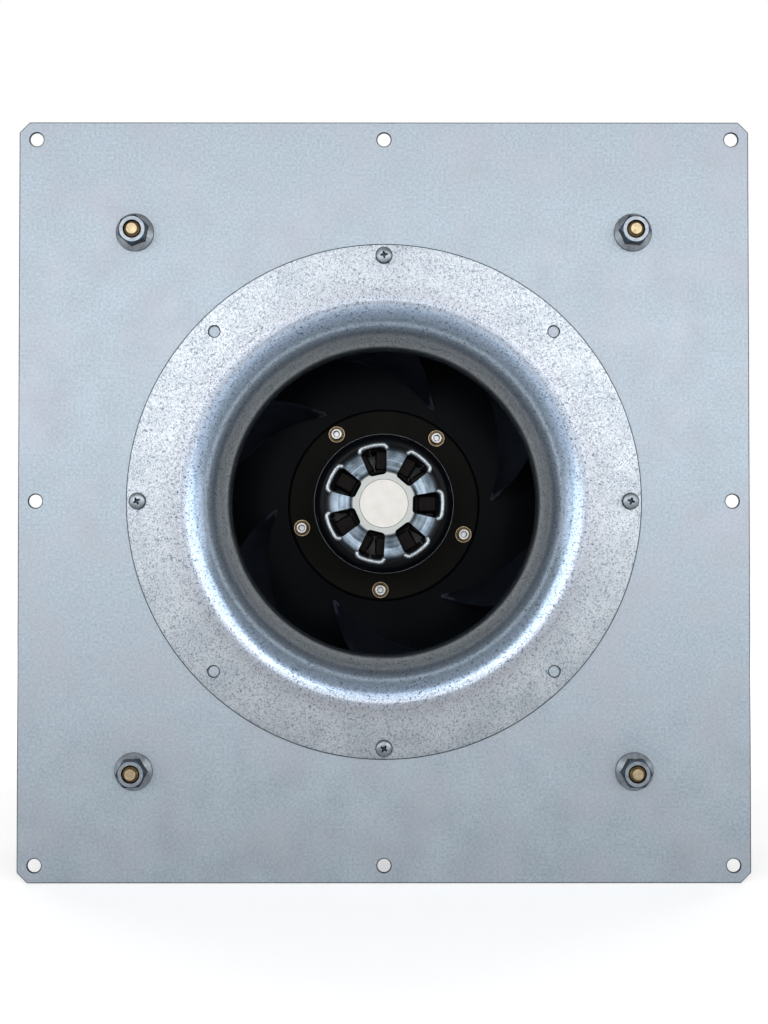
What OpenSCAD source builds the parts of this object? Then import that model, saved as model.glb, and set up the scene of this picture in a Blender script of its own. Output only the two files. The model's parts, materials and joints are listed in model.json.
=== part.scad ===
// Backward-curved centrifugal fan on a mounting plate, with a spun inlet nozzle and an external-rotor motor.
// The plate stands upright with its front at y = 0. Air enters from -Y and leaves sideways behind the plate.
// Depths are measured behind the plate's front face, angles from +X towards +Z, as seen from the inlet.

/* [Mounting plate] */
// Width of the plate
plate_w = 500; // [450:10:600]
// Height of the plate
plate_h = 520; // [470:10:620]
// Thickness of the plate
plate_t = 2; // [1.5:0.5:4]
// Leg of the cut across each corner
plate_chamfer = 7; // [2:0.5:10]
// Diameter of the fixing holes along the rim
rim_hole_d = 9; // [6:0.5:12]
// Edge of the plate to the centre of a fixing hole
rim_margin = 12; // [10:0.5:18]

/* [Inlet nozzle] */
// Outer diameter of the flat flange
nozzle_flange_d = 352; // [340:2:370]
// Diameter where the flange bends into the bell
bell_mouth_d = 280; // [270:2:290]
// Inner diameter of the throat
throat_d = 218; // [200:2:228]
// Depth of the bell's curve
bell_depth = 45; // [35:1:55]
// Length of the straight lip behind the curve
lip_l = 6.5; // [4:0.5:10]
// Thickness of the spun sheet
nozzle_t = 1.5; // [1:0.25:2]
// Edge of the flange to the centre of a nozzle screw
nozzle_screw_edge = 8; // [7:0.5:12]
// Edge of the flange to the centre of a spare hole
spare_hole_edge = 12; // [8:0.5:14]
// Diameter of a spare hole
spare_hole_d = 7.4; // [5:0.2:9]
// Clearance round the bell where it passes the plate
bell_gap = 3; // [2:0.5:6]

/* [Spacer posts and nuts] */
// Centre distance of the posts across
post_span_w = 341; // [330:1:380]
// Centre distance of the posts upwards
post_span_h = 368; // [350:1:400]
// Diameter of a post
post_d = 20; // [17:0.5:24]
// Thread diameter of the studs on the posts' ends
stud_d = 12; // [10:0.5:13]
// Length that a stud stands out of its nut
stud_tip = 1.5; // [0.5:0.5:6]
// Height of a flange nut
nut_h = 12; // [10:0.5:14]
// Width of a nut across its flats
nut_af = 18; // [16:0.5:20]
// Diameter of a nut's flange
nut_flange_d = 26; // [24:0.5:28]

/* [Impeller] */
// Outer diameter of the impeller
impeller_d = 314; // [290:2:330]
// Height of the impeller from the eye's edge to the hub disc
impeller_h = 92; // [80:1:105]
// Running gap between the nozzle's lip and the eye
eye_gap = 2; // [1:0.25:3.5]
// Length of lip that reaches into the eye
eye_overlap = 6; // [3:0.5:6]
// Length of the eye's straight collar
collar_l = 8; // [5:0.5:12]
// Radial reach of the shroud's elliptical curve
shroud_sweep = 50; // [48:1:62]
// Rise of the shroud's curve along the axis
shroud_rise = 26; // [20:1:34]
// Wall of the shroud
shroud_t = 2.5; // [1.5:0.25:4]
// Thickness of the hub disc
hub_t = 2.5; // [2:0.25:4]
// Height that the hub's clamping ring stands out of the disc
hub_ring_h = 6; // [3:0.5:10]
// Number of blades
blade_count = 6; // [5:1:7]
// Thickness of a blade behind its leading edge
blade_t = 3; // [2:0.25:4]
// Thickness of a blade before its trailing edge
blade_edge_t = 2; // [1.5:0.25:3]
// Radial distance from the clamping ring to the blades' roots
blade_root_gap = 11; // [8:0.5:16]
// Sweep of a blade along the hub, in degrees
blade_wrap_hub = 75; // [60:1:85]
// Sweep of a blade along the shroud, in degrees
blade_wrap_shroud = 48; // [40:1:56]
// Lead of the root at the shroud over the root at the hub, in degrees
blade_lead = 18; // [8:1:24]
// Turn of the first blade's root from +X, in degrees
blade_phase = 2; // [0:0.5:10]
// Number of impeller screws
impeller_screw_count = 5; // [4:1:6]
// Turn of the first impeller screw, in degrees
impeller_screw_phase = 51.7; // [40:0.1:60]
// Diameter of an impeller screw's head
impeller_screw_head_d = 8.8; // [8:0.1:10]
// Diameter of the washer under it
impeller_washer_d = 13; // [11:0.5:14]
// Rotor's side to the centre of an impeller screw
impeller_screw_offset = 14.3; // [13:0.1:15]
// Radial distance from the eye's edge to the blades' roots at the shroud
blade_eye_gap = 3.5; // [2:0.5:6]

/* [Rotor] */
// Outer diameter of the rotor
rotor_d = 104; // [100:1:110]
// Length of the rotor from its front to the back of its flange
rotor_l = 71; // [69:0.5:78]
// Wall of the drawn rotor
rotor_wall = 2.2; // [1.6:0.1:3]
// Radius of the rotor's shoulder
rotor_shoulder = 8; // [6:0.5:10]
// Diameter of the raised flat in the middle of the rotor's face
plateau_d = 45.8; // [44:0.2:50]
// Depth of the dished face below the flat
dish_depth = 5.4; // [3:0.2:6]
// Number of cooling windows
window_count = 7; // [5:1:7]
// Radius of a window's inner edge
window_inner_r = 21.2; // [20:0.2:24]
// Sweep of a window's outer edge, in degrees
window_arc = 28.4; // [22:0.2:32]
// Width of a window's inner edge
window_inner_w = 12.5; // [8:0.5:14]
// Turn of the first window, in degrees
window_phase = -1.5; // [-5:0.5:5]
// Thickness of the rotor's flange
rotor_flange_t = 2.5; // [2:0.25:4]
// Diameter of the blank round label
label_d = 36; // [30:0.5:40]
// Thickness of the label
label_t = 0.3; // [0.1:0.1:0.5]
// Radial width of the rotor's flange
rotor_flange_w = 22; // [19:0.5:24]
// Rim of the rotor to the outer edge of a window
window_edge = 10.4; // [9.8:0.1:12]
// Radius of the raised lip round a window's outer edge
lip_bead_r = 1.9; // [1.4:0.1:2.2]
// Height of the ripples pressed in the dished face
ripple_h = 0.35; // [0:0.05:0.6]

/* [Motor] */
// Diameter of the shaft
shaft_d = 12; // [11:0.5:13]
// Outer diameter of a bearing
bearing_d = 28; // [27:0.5:30]
// Width of a bearing
bearing_w = 8; // [7:0.5:9]
// Number of balls in a bearing
ball_count = 8; // [7:1:8]
// Wall of the bearing tube
tube_wall = 4; // [3:0.25:5]
// Length of the stator core
core_l = 36; // [30:1:40]
// Number of stator teeth
tooth_count = 12; // [9:3:12]
// Width of a stator tooth
tooth_w = 7; // [5:0.25:7.5]
// Radial thickness of the stator's yoke
yoke_t = 7; // [5:0.5:8]
// Radial thickness of the magnet ring
magnet_t = 5.6; // [4:0.2:7]
// Air gap between the core and the magnets
air_gap = 1; // [0.6:0.1:1.5]
// Running gap between the rotor's flange and the stator flange
motor_gap = 2; // [1.5:0.25:3]
// Thickness of the stator flange
stator_flange_t = 7; // [6:0.5:9]

/* [Motor bracket] */
// Thickness of the bracket's sheet
bracket_t = 3; // [2:0.5:4]
// Height of the folded edges
bracket_fold = 12; // [8:1:14]
// Clearance round the electronics pot in the bracket's opening
bracket_gap = 4; // [2:0.5:6]
// Radial width of the bracket's middle ring
bracket_ring_w = 32; // [30:1:38]
// Width of an arm at the middle ring
arm_root_w = 62; // [50:1:80]
// Width of an arm at its post
arm_tip_w = 38; // [36:1:44]
// Length of the slot in an arm
arm_slot_l = 56; // [40:2:60]
// Width of the slot in an arm
arm_slot_w = 18; // [12:1:20]
// Edge of the bracket's opening to the centre of a fixing lug
lug_offset = 18; // [16:1:20]
// Diameter of a fixing lug
lug_d = 18; // [15:1:20]

/* [Electronics] */
// Depth of the electronics pot
pot_l = 46; // [44:1:56]
// Wall of the pot
pot_wall = 3; // [2:0.25:4]
// Height of a cooling fin
fin_h = 4; // [2:0.5:5]
// Number of cooling fins round the pot
fin_count = 36; // [24:2:40]
// Thickness of the cover's plate
cover_t = 3; // [2:0.25:5]
// Thickness of the cover's gasket
gasket_t = 0.8; // [0.5:0.1:1.5]
// Centre distance of the two cable glands
gland_span = 38; // [34:1:42]
// Thread diameter of a cable gland
gland_thread_d = 20; // [18:0.5:21]
// Bore of a gland's seal
cable_d = 10; // [7:0.5:11]
// Height of the circuit board over the pot's floor
board_rise = 11; // [9:0.5:14]
// Thickness of the circuit board
board_t = 1.6; // [1:0.2:2.4]
// Diameter of a capacitor
capacitor_d = 22; // [16:1:24]
// Outer diameter of the line choke
choke_d = 28; // [22:1:29]
// Height of the line choke
choke_h = 13; // [8:1:16]
// Length of a terminal block
terminal_w = 28; // [24:1:30]
// Width of a terminal block
terminal_d = 13; // [11:1:16]
// Height of a terminal block
terminal_h = 14; // [10:1:18]

/* [Hidden] */
$fn = 96;

// Clearances: pressed and glued seats, screws in plain holes, and blades under the shroud
seat_gap = 0.02;
screw_gap = 0.3;
weld_gap = 0.25;

// Screw threads
m3 = 3;
m4 = 4;
m5 = 5;
m6 = 6;

// Radii that follow from the driving diameters
throat_r = throat_d / 2;
flange_r = nozzle_flange_d / 2;
mouth_r = bell_mouth_d / 2;
nozzle_screw_r = flange_r - nozzle_screw_edge;
spare_hole_r = flange_r - spare_hole_edge;
eye_r = throat_r + nozzle_t + eye_gap;
impeller_r = impeller_d / 2;
rotor_r = rotor_d / 2;
rotor_flange_r = rotor_r + rotor_flange_w;
impeller_screw_r = rotor_r + impeller_screw_offset;
blade_root_r = rotor_flange_r + blade_root_gap;
blade_shroud_root_r = eye_r + blade_eye_gap;
blade_out_r = impeller_r - 1;
impeller_washer_t = 1;
window_outer_r = rotor_r - window_edge;
crest_r = window_outer_r + lip_bead_r - 0.2;
shaft_r = shaft_d / 2;
bearing_r = bearing_d / 2;
ball_ring_r = (shaft_r + bearing_r) / 2;
ball_r = 0.2975 * (bearing_r - shaft_r);
tube_r = bearing_r + tube_wall;
magnet_r = rotor_r - rotor_wall - seat_gap;
core_r = magnet_r - magnet_t - air_gap;
stud_r = stud_d / 2 - 0.1;
post_x = post_span_w / 2;
post_y = post_span_h / 2;
post_places = [[post_x, post_y], [-post_x, post_y], [-post_x, -post_y], [post_x, -post_y]];

// Depths behind the plate's front face, from the inlet to the cover
nozzle_front = -nozzle_t;
nozzle_back = nozzle_front + bell_depth + lip_l;
eye_front = nozzle_back - eye_overlap;
curve_front = eye_front + collar_l;
hub_front = eye_front + impeller_h;
hub_back = hub_front + hub_t;
hub_ring_front = hub_front - hub_ring_h;
rotor_back = hub_back + rotor_flange_t;
rotor_front = rotor_back - rotor_l;
stator_front = rotor_back + motor_gap;
bracket_front = stator_front + stator_flange_t;
bracket_back = bracket_front + bracket_t;
pot_back = bracket_front + pot_l;
cover_front = pot_back + gasket_t;
cover_back = cover_front + cover_t;

// Motor depths: the front bearing follows the rotor's face, the rear one the stator flange
bush_l = 8;
bush_back = rotor_front + bush_l;
front_bearing_front = bush_back;
front_bearing_back = front_bearing_front + bearing_w;
rear_bearing_reach = 5;
rear_bearing_front = stator_front - rear_bearing_reach;
rear_bearing_back = rear_bearing_front + bearing_w;
tube_front = front_bearing_front - 1;
spring_h = 1.4;
front_seat = front_bearing_back + spring_h;
core_setback = 20;
core_front = rotor_front + core_setback;
core_back = core_front + core_l;
insulator_t = 1.5;
end_turn = 4.5;
shaft_back = rear_bearing_back + 2.8;
clip_t = 1;
groove_depth = 0.6;

// Bracket and stator flange
pot_r = rotor_flange_r + 2;
pot_shell_r = pot_r - fin_h;
bracket_hole_r = pot_r + bracket_gap;
bracket_ring_r = bracket_hole_r + bracket_ring_w;
lug_r = bracket_hole_r + lug_offset;
arm_turn = atan2(post_y, post_x);
arm_length = norm([post_x, post_y]);
pad_r = arm_tip_w / 2;
stator_leg_first = 45;
bracket_washer_t = 1.6;

// Electronics: the board inside the six screw columns, and the box under the pot that takes the glands
pot_floor = bracket_front + pot_wall;
board_front = pot_floor + board_rise;
board_back = board_front + board_t;
column_d = 9;
column_r = pot_shell_r - 7;
board_r = column_r - column_d / 2 - 2.5;
standoff_d = 7;
standoff_r = board_r - 6;
pot_screw_r = board_r;
box_half_w = gland_span;
box_drop = 10;
box_y = -(pot_shell_r + box_drop);
gland_af = gland_thread_d + 4;
box_front = pot_back - gland_af - 8;
gland_depth = (box_front + pot_back) / 2;
earth_l = 8;
earth_rise = 9;
pin_hole_r = 2.5;

// Shared helpers

function unit(v) = v / norm(v);

function mix(a, b, share) = a + (b - a) * share;

function polar(r, angle) = r * [cos(angle), sin(angle)];

// Points of an arc, from one angle to another
function arc(centre, r, from, to, steps) = [
    for (i = [0:steps])
        centre + polar(r, mix(from, to, i / steps))
];

// Points of a closed outline whose corners are rounded
function rounded(corners, r, steps = 4) = [
    for (i = [0:len(corners) - 1])
        let (
            here = corners[i],
            back = unit(corners[(i + len(corners) - 1) % len(corners)] - here),
            ahead = unit(corners[(i + 1) % len(corners)] - here),
            half = acos(back * ahead) / 2,
            centre = here + unit(back + ahead) * r / sin(half),
            start = here + back * r / tan(half) - centre,
            end = here + ahead * r / tan(half) - centre,
            from = atan2(start[1], start[0]),
            turn = (atan2(end[1], end[0]) - from + 540) % 360 - 180
        )
        for (p = arc(centre, r, from, from + turn, steps))
            p
];

// Corners of a rectangle round a centre
function rectangle(w, h) = [[-w / 2, -h / 2], [w / 2, -h / 2], [w / 2, h / 2], [-w / 2, h / 2]];

// Turns a piece drawn as seen from the inlet, with z towards the viewer, to its place
module as_seen() {
    rotate([90, 0, 0]) children();
}

// Extrudes an outline between two depths
module between(front, back) {
    translate([0, 0, -back]) linear_extrude(back - front) children();
}

// A round bar, disc or tube between two depths
module tube(r, front, back, bore = 0) {
    between(front, back) difference() {
        circle(r);
        if (bore > 0) circle(bore);
    }
}

// A turned piece from its half section, as [radius, depth] points
module turned(section) {
    rotate_extrude() polygon([for (p = section) [p[0], -p[1]]]);
}

// Copies on a circle
module ring_of(count, r, first = 0) {
    for (i = [0:count - 1])
        rotate(first + 360 * i / count) translate([r, 0, 0]) children();
}

// Copies on the four posts
module at_posts() {
    for (place = post_places)
        translate(place) children();
}

// Screw with a domed head and a cross recess, standing on its seat with the head upwards
module pan_screw(d, head_d, head_h, shank) {
    lead = d * 0.1;
    rise = head_d * 0.18;
    crown = [
        for (i = [0:5])
            [head_d / 2 * cos(15 * i), head_h - rise * (1 - sin(18 * i))]
    ];
    recess = [head_d * 0.54, d * 0.18, head_h];
    difference() {
        rotate_extrude() polygon(concat(
            [[0, -shank], [d / 2 - lead, -shank], [d / 2, lead - shank], [d / 2, 0], [head_d / 2, 0]],
            crown,
            [[0, head_h]]
        ));
        for (turn = [0, 90])
            rotate(turn) translate([-recess[0] / 2, -recess[1] / 2, head_h - head_d * 0.2])
                cube(recess);
    }
}

// Screw with a cylindrical head and a hexagon socket, standing on its seat
module socket_screw(d, head_d, head_h, shank) {
    difference() {
        union() {
            translate([0, 0, -shank]) cylinder(d = d, h = shank);
            cylinder(d = head_d, h = head_h - 0.5);
            translate([0, 0, head_h - 0.5]) cylinder(d1 = head_d, d2 = head_d - 1, h = 0.5);
        }
        translate([0, 0, head_h * 0.45]) cylinder(d = d * 0.92, h = head_h, $fn = 6);
    }
}

// Flat washer standing on its seat
module washer(d, bore, t) {
    linear_extrude(t) difference() {
        circle(d = d);
        circle(d = bore);
    }
}

// Hexagon nut with a conical flange, standing on its seat
module flange_nut() {
    corners_r = nut_af / sqrt(3);
    rim = 1.6;
    difference() {
        union() {
            cylinder(d = nut_flange_d, h = rim);
            translate([0, 0, rim]) cylinder(d1 = nut_flange_d, d2 = nut_af, h = 2.4);
            intersection() {
                cylinder(r = corners_r, h = nut_h, $fn = 6);
                cylinder(r1 = corners_r + nut_h, r2 = nut_af / 2 - 0.2, h = nut_h + 1.2);
            }
        }
        translate([0, 0, -1]) cylinder(r = stud_r + seat_gap, h = nut_h + 2);
        translate([0, 0, nut_h - 0.8]) cylinder(r1 = stud_r, r2 = stud_r + 1, h = 1);
    }
}

// Plate and nozzle

module plate_outline() {
    x = plate_w / 2;
    y = plate_h / 2;
    c = plate_chamfer;
    polygon([
        [x - c, -y], [x, c - y], [x, y - c], [x - c, y],
        [c - x, y], [-x, y - c], [-x, c - y], [c - x, -y]
    ]);
}

module mounting_plate() {
    hole_x = plate_w / 2 - rim_margin;
    hole_y = plate_h / 2 - rim_margin;
    color("lightsteelblue") as_seen() between(0, plate_t) difference() {
        plate_outline();
        for (x = [-hole_x, 0, hole_x], y = [-hole_y, 0, hole_y])
            if (x != 0 || y != 0)
                translate([x, y]) circle(d = rim_hole_d);
        circle(mouth_r + bell_gap);
        at_posts() circle(d = stud_d + 1);
        ring_of(4, nozzle_screw_r) circle(d = m6 + screw_gap);
    }
}

// The bell's air side is a quarter ellipse, and its back lies one sheet behind it
function bell_point(t) = [
    mouth_r - (mouth_r - throat_r) * sin(t),
    nozzle_front + bell_depth * (1 - cos(t))
];
function bell_normal(t) = unit([bell_depth * sin(t), (mouth_r - throat_r) * cos(t)]);

module inlet_nozzle() {
    steps = 24;
    air = [for (i = [0:steps]) bell_point(90 * i / steps)];
    back = [for (i = [steps:-1:0]) bell_point(90 * i / steps) + nozzle_t * bell_normal(90 * i / steps)];
    lip = [[throat_r, nozzle_back], [throat_r + nozzle_t, nozzle_back]];
    color("silver") as_seen() difference() {
        turned(concat([[flange_r, nozzle_front]], air, lip, back, [[flange_r, 0]]));
        ring_of(4, nozzle_screw_r) tube((m6 + screw_gap) / 2, nozzle_front - 1, 1);
        ring_of(4, spare_hole_r, 45) tube(spare_hole_d / 2, nozzle_front - 1, 1);
    }
}

module nozzle_screws() {
    color("gainsboro") as_seen() ring_of(4, nozzle_screw_r)
        translate([0, 0, -nozzle_front]) rotate(20) pan_screw(m6, 11.6, 3.6, 12);
}

module clinch_nuts() {
    color("silver") as_seen() ring_of(4, nozzle_screw_r)
        tube(m6 * 0.85, plate_t, plate_t + m6 * 0.8, m6 / 2 + seat_gap);
}

// Posts, nuts and motor bracket

module spacer_posts() {
    front_tip = -(nut_h + stud_tip);
    back_tip = bracket_back + nut_h + stud_tip;
    lead = 1.3;
    flat_w = post_d * 0.85;
    color("khaki") as_seen() at_posts() difference() {
        turned([
            [0, front_tip], [stud_r - lead, front_tip], [stud_r, front_tip + lead], [stud_r, plate_t],
            [post_d / 2 - 0.8, plate_t], [post_d / 2, plate_t + 0.8],
            [post_d / 2, bracket_front - 0.8], [post_d / 2 - 0.8, bracket_front],
            [stud_r, bracket_front], [stud_r, back_tip - lead], [stud_r - lead, back_tip], [0, back_tip]
        ]);
        for (side = [-1, 1])
            translate([-post_d, side * (flat_w + post_d) / 2 - post_d / 2, -bracket_front + 10])
                cube([2 * post_d, post_d, 12]);
    }
}

module front_flange_nuts() {
    turns = [-5, 20, 3, 0];
    color("lightsteelblue") as_seen()
        for (i = [0:3])
            translate(post_places[i]) rotate(turns[i]) flange_nut();
}

module rear_flange_nuts() {
    color("lightsteelblue") as_seen() at_posts()
        translate([0, 0, -bracket_back]) rotate([180, 0, 0]) flange_nut();
}

// Outline of the bracket, drawn in from its edge by a distance
module bracket_outline(inset = 0) {
    root = bracket_ring_r - 12;
    circle(bracket_ring_r - inset);
    for (side = [-1, 1], up = [-1, 1])
        rotate(up * arm_turn + (side < 0 ? 180 : 0)) {
            polygon([
                [0, inset - arm_root_w / 2], [root, inset - arm_root_w / 2], [arm_length, inset - pad_r],
                [arm_length, pad_r - inset], [root, arm_root_w / 2 - inset], [0, arm_root_w / 2 - inset]
            ]);
            translate([arm_length, 0]) circle(pad_r - inset);
        }
}

module motor_bracket() {
    slot_r = mix(bracket_ring_r, arm_length, 0.45);
    color("lightsteelblue") as_seen() {
        between(bracket_front, bracket_back) difference() {
            bracket_outline();
            circle(bracket_hole_r);
            at_posts() circle(d = stud_d + 1);
            ring_of(4, lug_r, stator_leg_first) circle(d = m6 + screw_gap);
            for (side = [-1, 1], up = [-1, 1])
                rotate(up * arm_turn + (side < 0 ? 180 : 0)) translate([slot_r, 0])
                    polygon(rounded(rectangle(arm_slot_l, arm_slot_w), arm_slot_w * 0.45));
        }
        between(bracket_back, bracket_back + bracket_fold) difference() {
            bracket_outline();
            bracket_outline(bracket_t);
        }
    }
}

module bracket_washers() {
    color("gainsboro") as_seen() ring_of(4, lug_r, stator_leg_first)
        translate([0, 0, -bracket_back - bracket_washer_t]) washer(12, m6 + screw_gap, bracket_washer_t);
}

module bracket_screws() {
    shank = bracket_washer_t + bracket_t + stator_flange_t - 1;
    color("gainsboro") as_seen() ring_of(4, lug_r, stator_leg_first)
        translate([0, 0, -bracket_back - bracket_washer_t]) rotate([180, 0, 0])
            socket_screw(m6, 10, m6, shank);
}

// Impeller

shroud_end = acos(1 - (impeller_r - eye_r) / shroud_sweep);

function shroud_point(t) = [
    eye_r + shroud_sweep * (1 - cos(t)),
    curve_front + shroud_rise * sin(t)
];
function shroud_normal(t) = unit([shroud_rise * cos(t), -shroud_sweep * sin(t)]);
function shroud_depth(r) = curve_front + shroud_rise * sin(acos(1 - max(0, r - eye_r) / shroud_sweep));

module impeller_shroud() {
    steps = 20;
    bead = 1;
    angles = [for (i = [0:steps]) shroud_end * i / steps];
    outside = [for (i = [steps:-1:0]) shroud_point(angles[i]) + shroud_t * shroud_normal(angles[i])];
    color([0.09, 0.09, 0.1]) as_seen() turned(concat(
        [[eye_r, eye_front]],
        [for (t = angles) shroud_point(t)],
        outside,
        [
            [eye_r + shroud_t, eye_front + 3], [eye_r + shroud_t + bead, eye_front + 2],
            [eye_r + shroud_t + bead, eye_front]
        ]
    ));
}

// A blade is ruled from a spiral on the hub to a spiral under the shroud. u runs from the leading to the
// trailing edge, v from the hub to the shroud, and side is -1 or 1.
blade_stations = 16;
blade_rows = 7;
blade_nose = 0.02;

function spiral_r(root, u) = pow(root, 1 - u) * pow(blade_out_r, u);
function spiral_lean(wrap, root) = atan2(wrap * PI / 180, ln(blade_out_r / root));
function blade_half(u) =
    let (nose = 1 - min(1, min(u, 1 - u) / blade_nose))
    mix(blade_t, blade_edge_t, u) / 2 * sqrt(1 - nose * nose);
function blade_plan(u, v, side) =
    let (
        r = mix(spiral_r(blade_root_r, u), spiral_r(blade_shroud_root_r, u), v),
        angle = mix(blade_wrap_hub * u, blade_lead + blade_wrap_shroud * u, v),
        lean = mix(
            spiral_lean(blade_wrap_hub, blade_root_r),
            spiral_lean(blade_wrap_shroud, blade_shroud_root_r),
            v
        )
    )
    polar(r, angle) + side * blade_half(u) * [-sin(angle + lean), cos(angle + lean)];
function blade_point(u, v, side) =
    let (
        plan = blade_plan(u, v, side),
        top = shroud_depth(norm(blade_plan(u, 1, side))) + weld_gap
    )
    [plan[0], plan[1], -mix(hub_front, top, v)];
function blade_loop(v) = [
    for (i = [0:blade_stations])
        blade_point((1 - cos(180 * i / blade_stations)) / 2, v, 1),
    for (i = [blade_stations - 1:-1:1])
        blade_point((1 - cos(180 * i / blade_stations)) / 2, v, -1)
];

module blade() {
    n = 2 * blade_stations;
    points = [
        for (j = [0:blade_rows])
            for (p = blade_loop(j / blade_rows))
                p
    ];
    skin = [
        for (j = [0:blade_rows - 1], k = [0:n - 1])
            let (a = j * n + k, b = j * n + (k + 1) % n)
            for (face = [[a, b, a + n], [b, b + n, a + n]])
                face
    ];
    cap = [
        for (i = [0:blade_stations - 1])
            let (a = i, b = i + 1, c = n - i - 1, d = (n - i) % n)
            for (face = [[a, d, b], [b, d, c]])
                if (face[0] != face[1] && face[1] != face[2] && face[2] != face[0])
                    face
    ];
    lid = [for (face = cap) [face[2], face[1], face[0]] + blade_rows * n * [1, 1, 1]];
    polyhedron(points, concat(skin, cap, lid));
}

module impeller_blades() {
    color([0.07, 0.07, 0.08]) as_seen()
        for (i = [0:blade_count - 1])
            rotate(blade_phase + 360 * i / blade_count) blade();
}

module impeller_hub() {
    inner = rotor_r + screw_gap;
    edge = 1;
    color([0.1, 0.1, 0.11]) as_seen() difference() {
        turned([
            [inner, hub_ring_front + edge], [inner + edge, hub_ring_front],
            [rotor_flange_r - edge, hub_ring_front], [rotor_flange_r, hub_ring_front + edge],
            [rotor_flange_r + 1.5 * edge, hub_front - 1.5 * edge], [rotor_flange_r + 4 * edge, hub_front],
            [impeller_r, hub_front], [impeller_r, hub_back], [inner, hub_back]
        ]);
        ring_of(impeller_screw_count, impeller_screw_r, impeller_screw_phase)
            tube((m5 + screw_gap) / 2, hub_ring_front - 1, hub_back + 1);
    }
}

module impeller_washers() {
    color("khaki") as_seen() ring_of(impeller_screw_count, impeller_screw_r, impeller_screw_phase)
        translate([0, 0, -hub_ring_front]) washer(impeller_washer_d, m5 + screw_gap, impeller_washer_t);
}

module impeller_screws() {
    shank = rotor_back - hub_ring_front;
    color("gainsboro") as_seen() ring_of(impeller_screw_count, impeller_screw_r, impeller_screw_phase)
        translate([0, 0, impeller_washer_t - hub_ring_front])
            socket_screw(m5, impeller_screw_head_d, m5, shank);
}

// Rotor

// Outer face of the rotor: a flat in the middle, then a dish with two pressed ripples up to the crest
crest_drop = 2;
face_steps = 15;
function dish_at(share) =
    crest_drop * share
    + (dish_depth - 1.2) * pow(sin(180 * pow(share, 0.7)), 0.75)
    + ripple_h * sin(180 * share) * sin(900 * share);
function rotor_face() = concat(
    [[0, rotor_front]],
    [
        for (i = [0:face_steps - 1])
            [mix(plateau_d / 2, crest_r - 0.4, i / face_steps), rotor_front + dish_at(i / face_steps)]
    ],
    [[crest_r - 0.4, rotor_front + crest_drop]]
);

// A trapezoid window, open outwards along +X
function window_outline() =
    let (
        outer_w = 2 * window_outer_r * sin(window_arc / 2),
        outer_x = window_outer_r * cos(window_arc / 2) + 1
    )
    rounded([
        [window_inner_r, -window_inner_w / 2], [outer_x, -outer_w / 2],
        [outer_x, outer_w / 2], [window_inner_r, window_inner_w / 2]
    ], 3);

module rotor_cup() {
    face = rotor_face();
    shoulder = [rotor_r - rotor_shoulder, rotor_front + crest_drop + rotor_shoulder];
    outer_arc = arc(shoulder, rotor_shoulder, -90, 0, 6);
    inner_arc = arc(shoulder, rotor_shoulder - rotor_wall, 0, -90, 6);
    under = [for (i = [len(face) - 1:-1:0]) face[i] + [0, rotor_wall]];
    color("silver") as_seen() {
        difference() {
            turned(concat(
                face, outer_arc,
                [[rotor_r, hub_back], [rotor_flange_r, hub_back], [rotor_flange_r, rotor_back]],
                [[rotor_r - rotor_wall, rotor_back]],
                inner_arc, under
            ));
            for (i = [0:window_count - 1])
                rotate(window_phase + 360 * i / window_count)
                    between(rotor_front - 1, rotor_front + 12) polygon(window_outline());
            ring_of(impeller_screw_count, impeller_screw_r, impeller_screw_phase)
                tube(m5 / 2 + seat_gap, hub_back - 1, rotor_back + 1);
        }
        for (i = [0:window_count - 1])
            rotate(window_phase + 360 * i / window_count - window_arc / 2)
                rotate_extrude(angle = window_arc)
                    translate([window_outer_r + lip_bead_r, -rotor_front - lip_bead_r - 0.5])
                        circle(lip_bead_r);
    }
}

module rotor_label() {
    color("ivory") as_seen() tube(label_d / 2, rotor_front - label_t, rotor_front);
}

module rotor_bush() {
    flat = rotor_front + rotor_wall;
    bore = shaft_r + seat_gap;
    step = bush_back - 1.8;
    color("gray") as_seen() turned([
        [bore, flat], [16, flat], [16, step - 1], [15, step], [shaft_r + 2.2, step],
        [shaft_r + 2.2, bush_back], [bore, bush_back]
    ]);
}

module magnet_ring() {
    color("dimgray") as_seen() tube(magnet_r, core_front - 2, core_back + 2, magnet_r - magnet_t);
}

module shaft() {
    front = rotor_front + rotor_wall;
    groove_front = rear_bearing_back + 0.1;
    groove_back = groove_front + clip_t + 0.1;
    color("lightgray") as_seen() turned([
        [0, front], [shaft_r - 0.5, front], [shaft_r, front + 0.5], [shaft_r, groove_front],
        [shaft_r - groove_depth, groove_front], [shaft_r - groove_depth, groove_back],
        [shaft_r, groove_back], [shaft_r, shaft_back - 0.4], [shaft_r - 0.4, shaft_back], [0, shaft_back]
    ]);
}

module retaining_ring() {
    front = rear_bearing_back + 0.15;
    inner = shaft_r - groove_depth + seat_gap;
    color("dimgray") as_seen() between(front, front + clip_t) {
        difference() {
            circle(shaft_r + 2);
            circle(inner);
            polygon([[0, 0], polar(2 * shaft_r + 4, 68), polar(2 * shaft_r + 4, 112)]);
        }
        for (turn = [62, 118])
            rotate(turn) translate([shaft_r + 2, 0]) difference() {
                circle(2);
                circle(0.8);
            }
    }
}

// Ball bearings: the groove is a little wider than the balls, and the cage's drilled pockets a little more

race_r = ball_r + 0.05;
land = ball_r * 0.68;

module bearing_race(front, inner, outer) {
    difference() {
        tube(outer, front, front + bearing_w, inner);
        rotate_extrude() translate([ball_ring_r, -front - bearing_w / 2]) circle(race_r);
    }
}

module inner_ring(front) {
    color("silver") as_seen() bearing_race(front, shaft_r + seat_gap, ball_ring_r - land);
}

module outer_ring(front) {
    color("silver") as_seen() bearing_race(front, ball_ring_r + land, bearing_r - seat_gap);
}

module bearing_balls(front) {
    color("white") as_seen() ring_of(ball_count, ball_ring_r)
        translate([0, 0, -front - bearing_w / 2]) sphere(ball_r);
}

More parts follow.
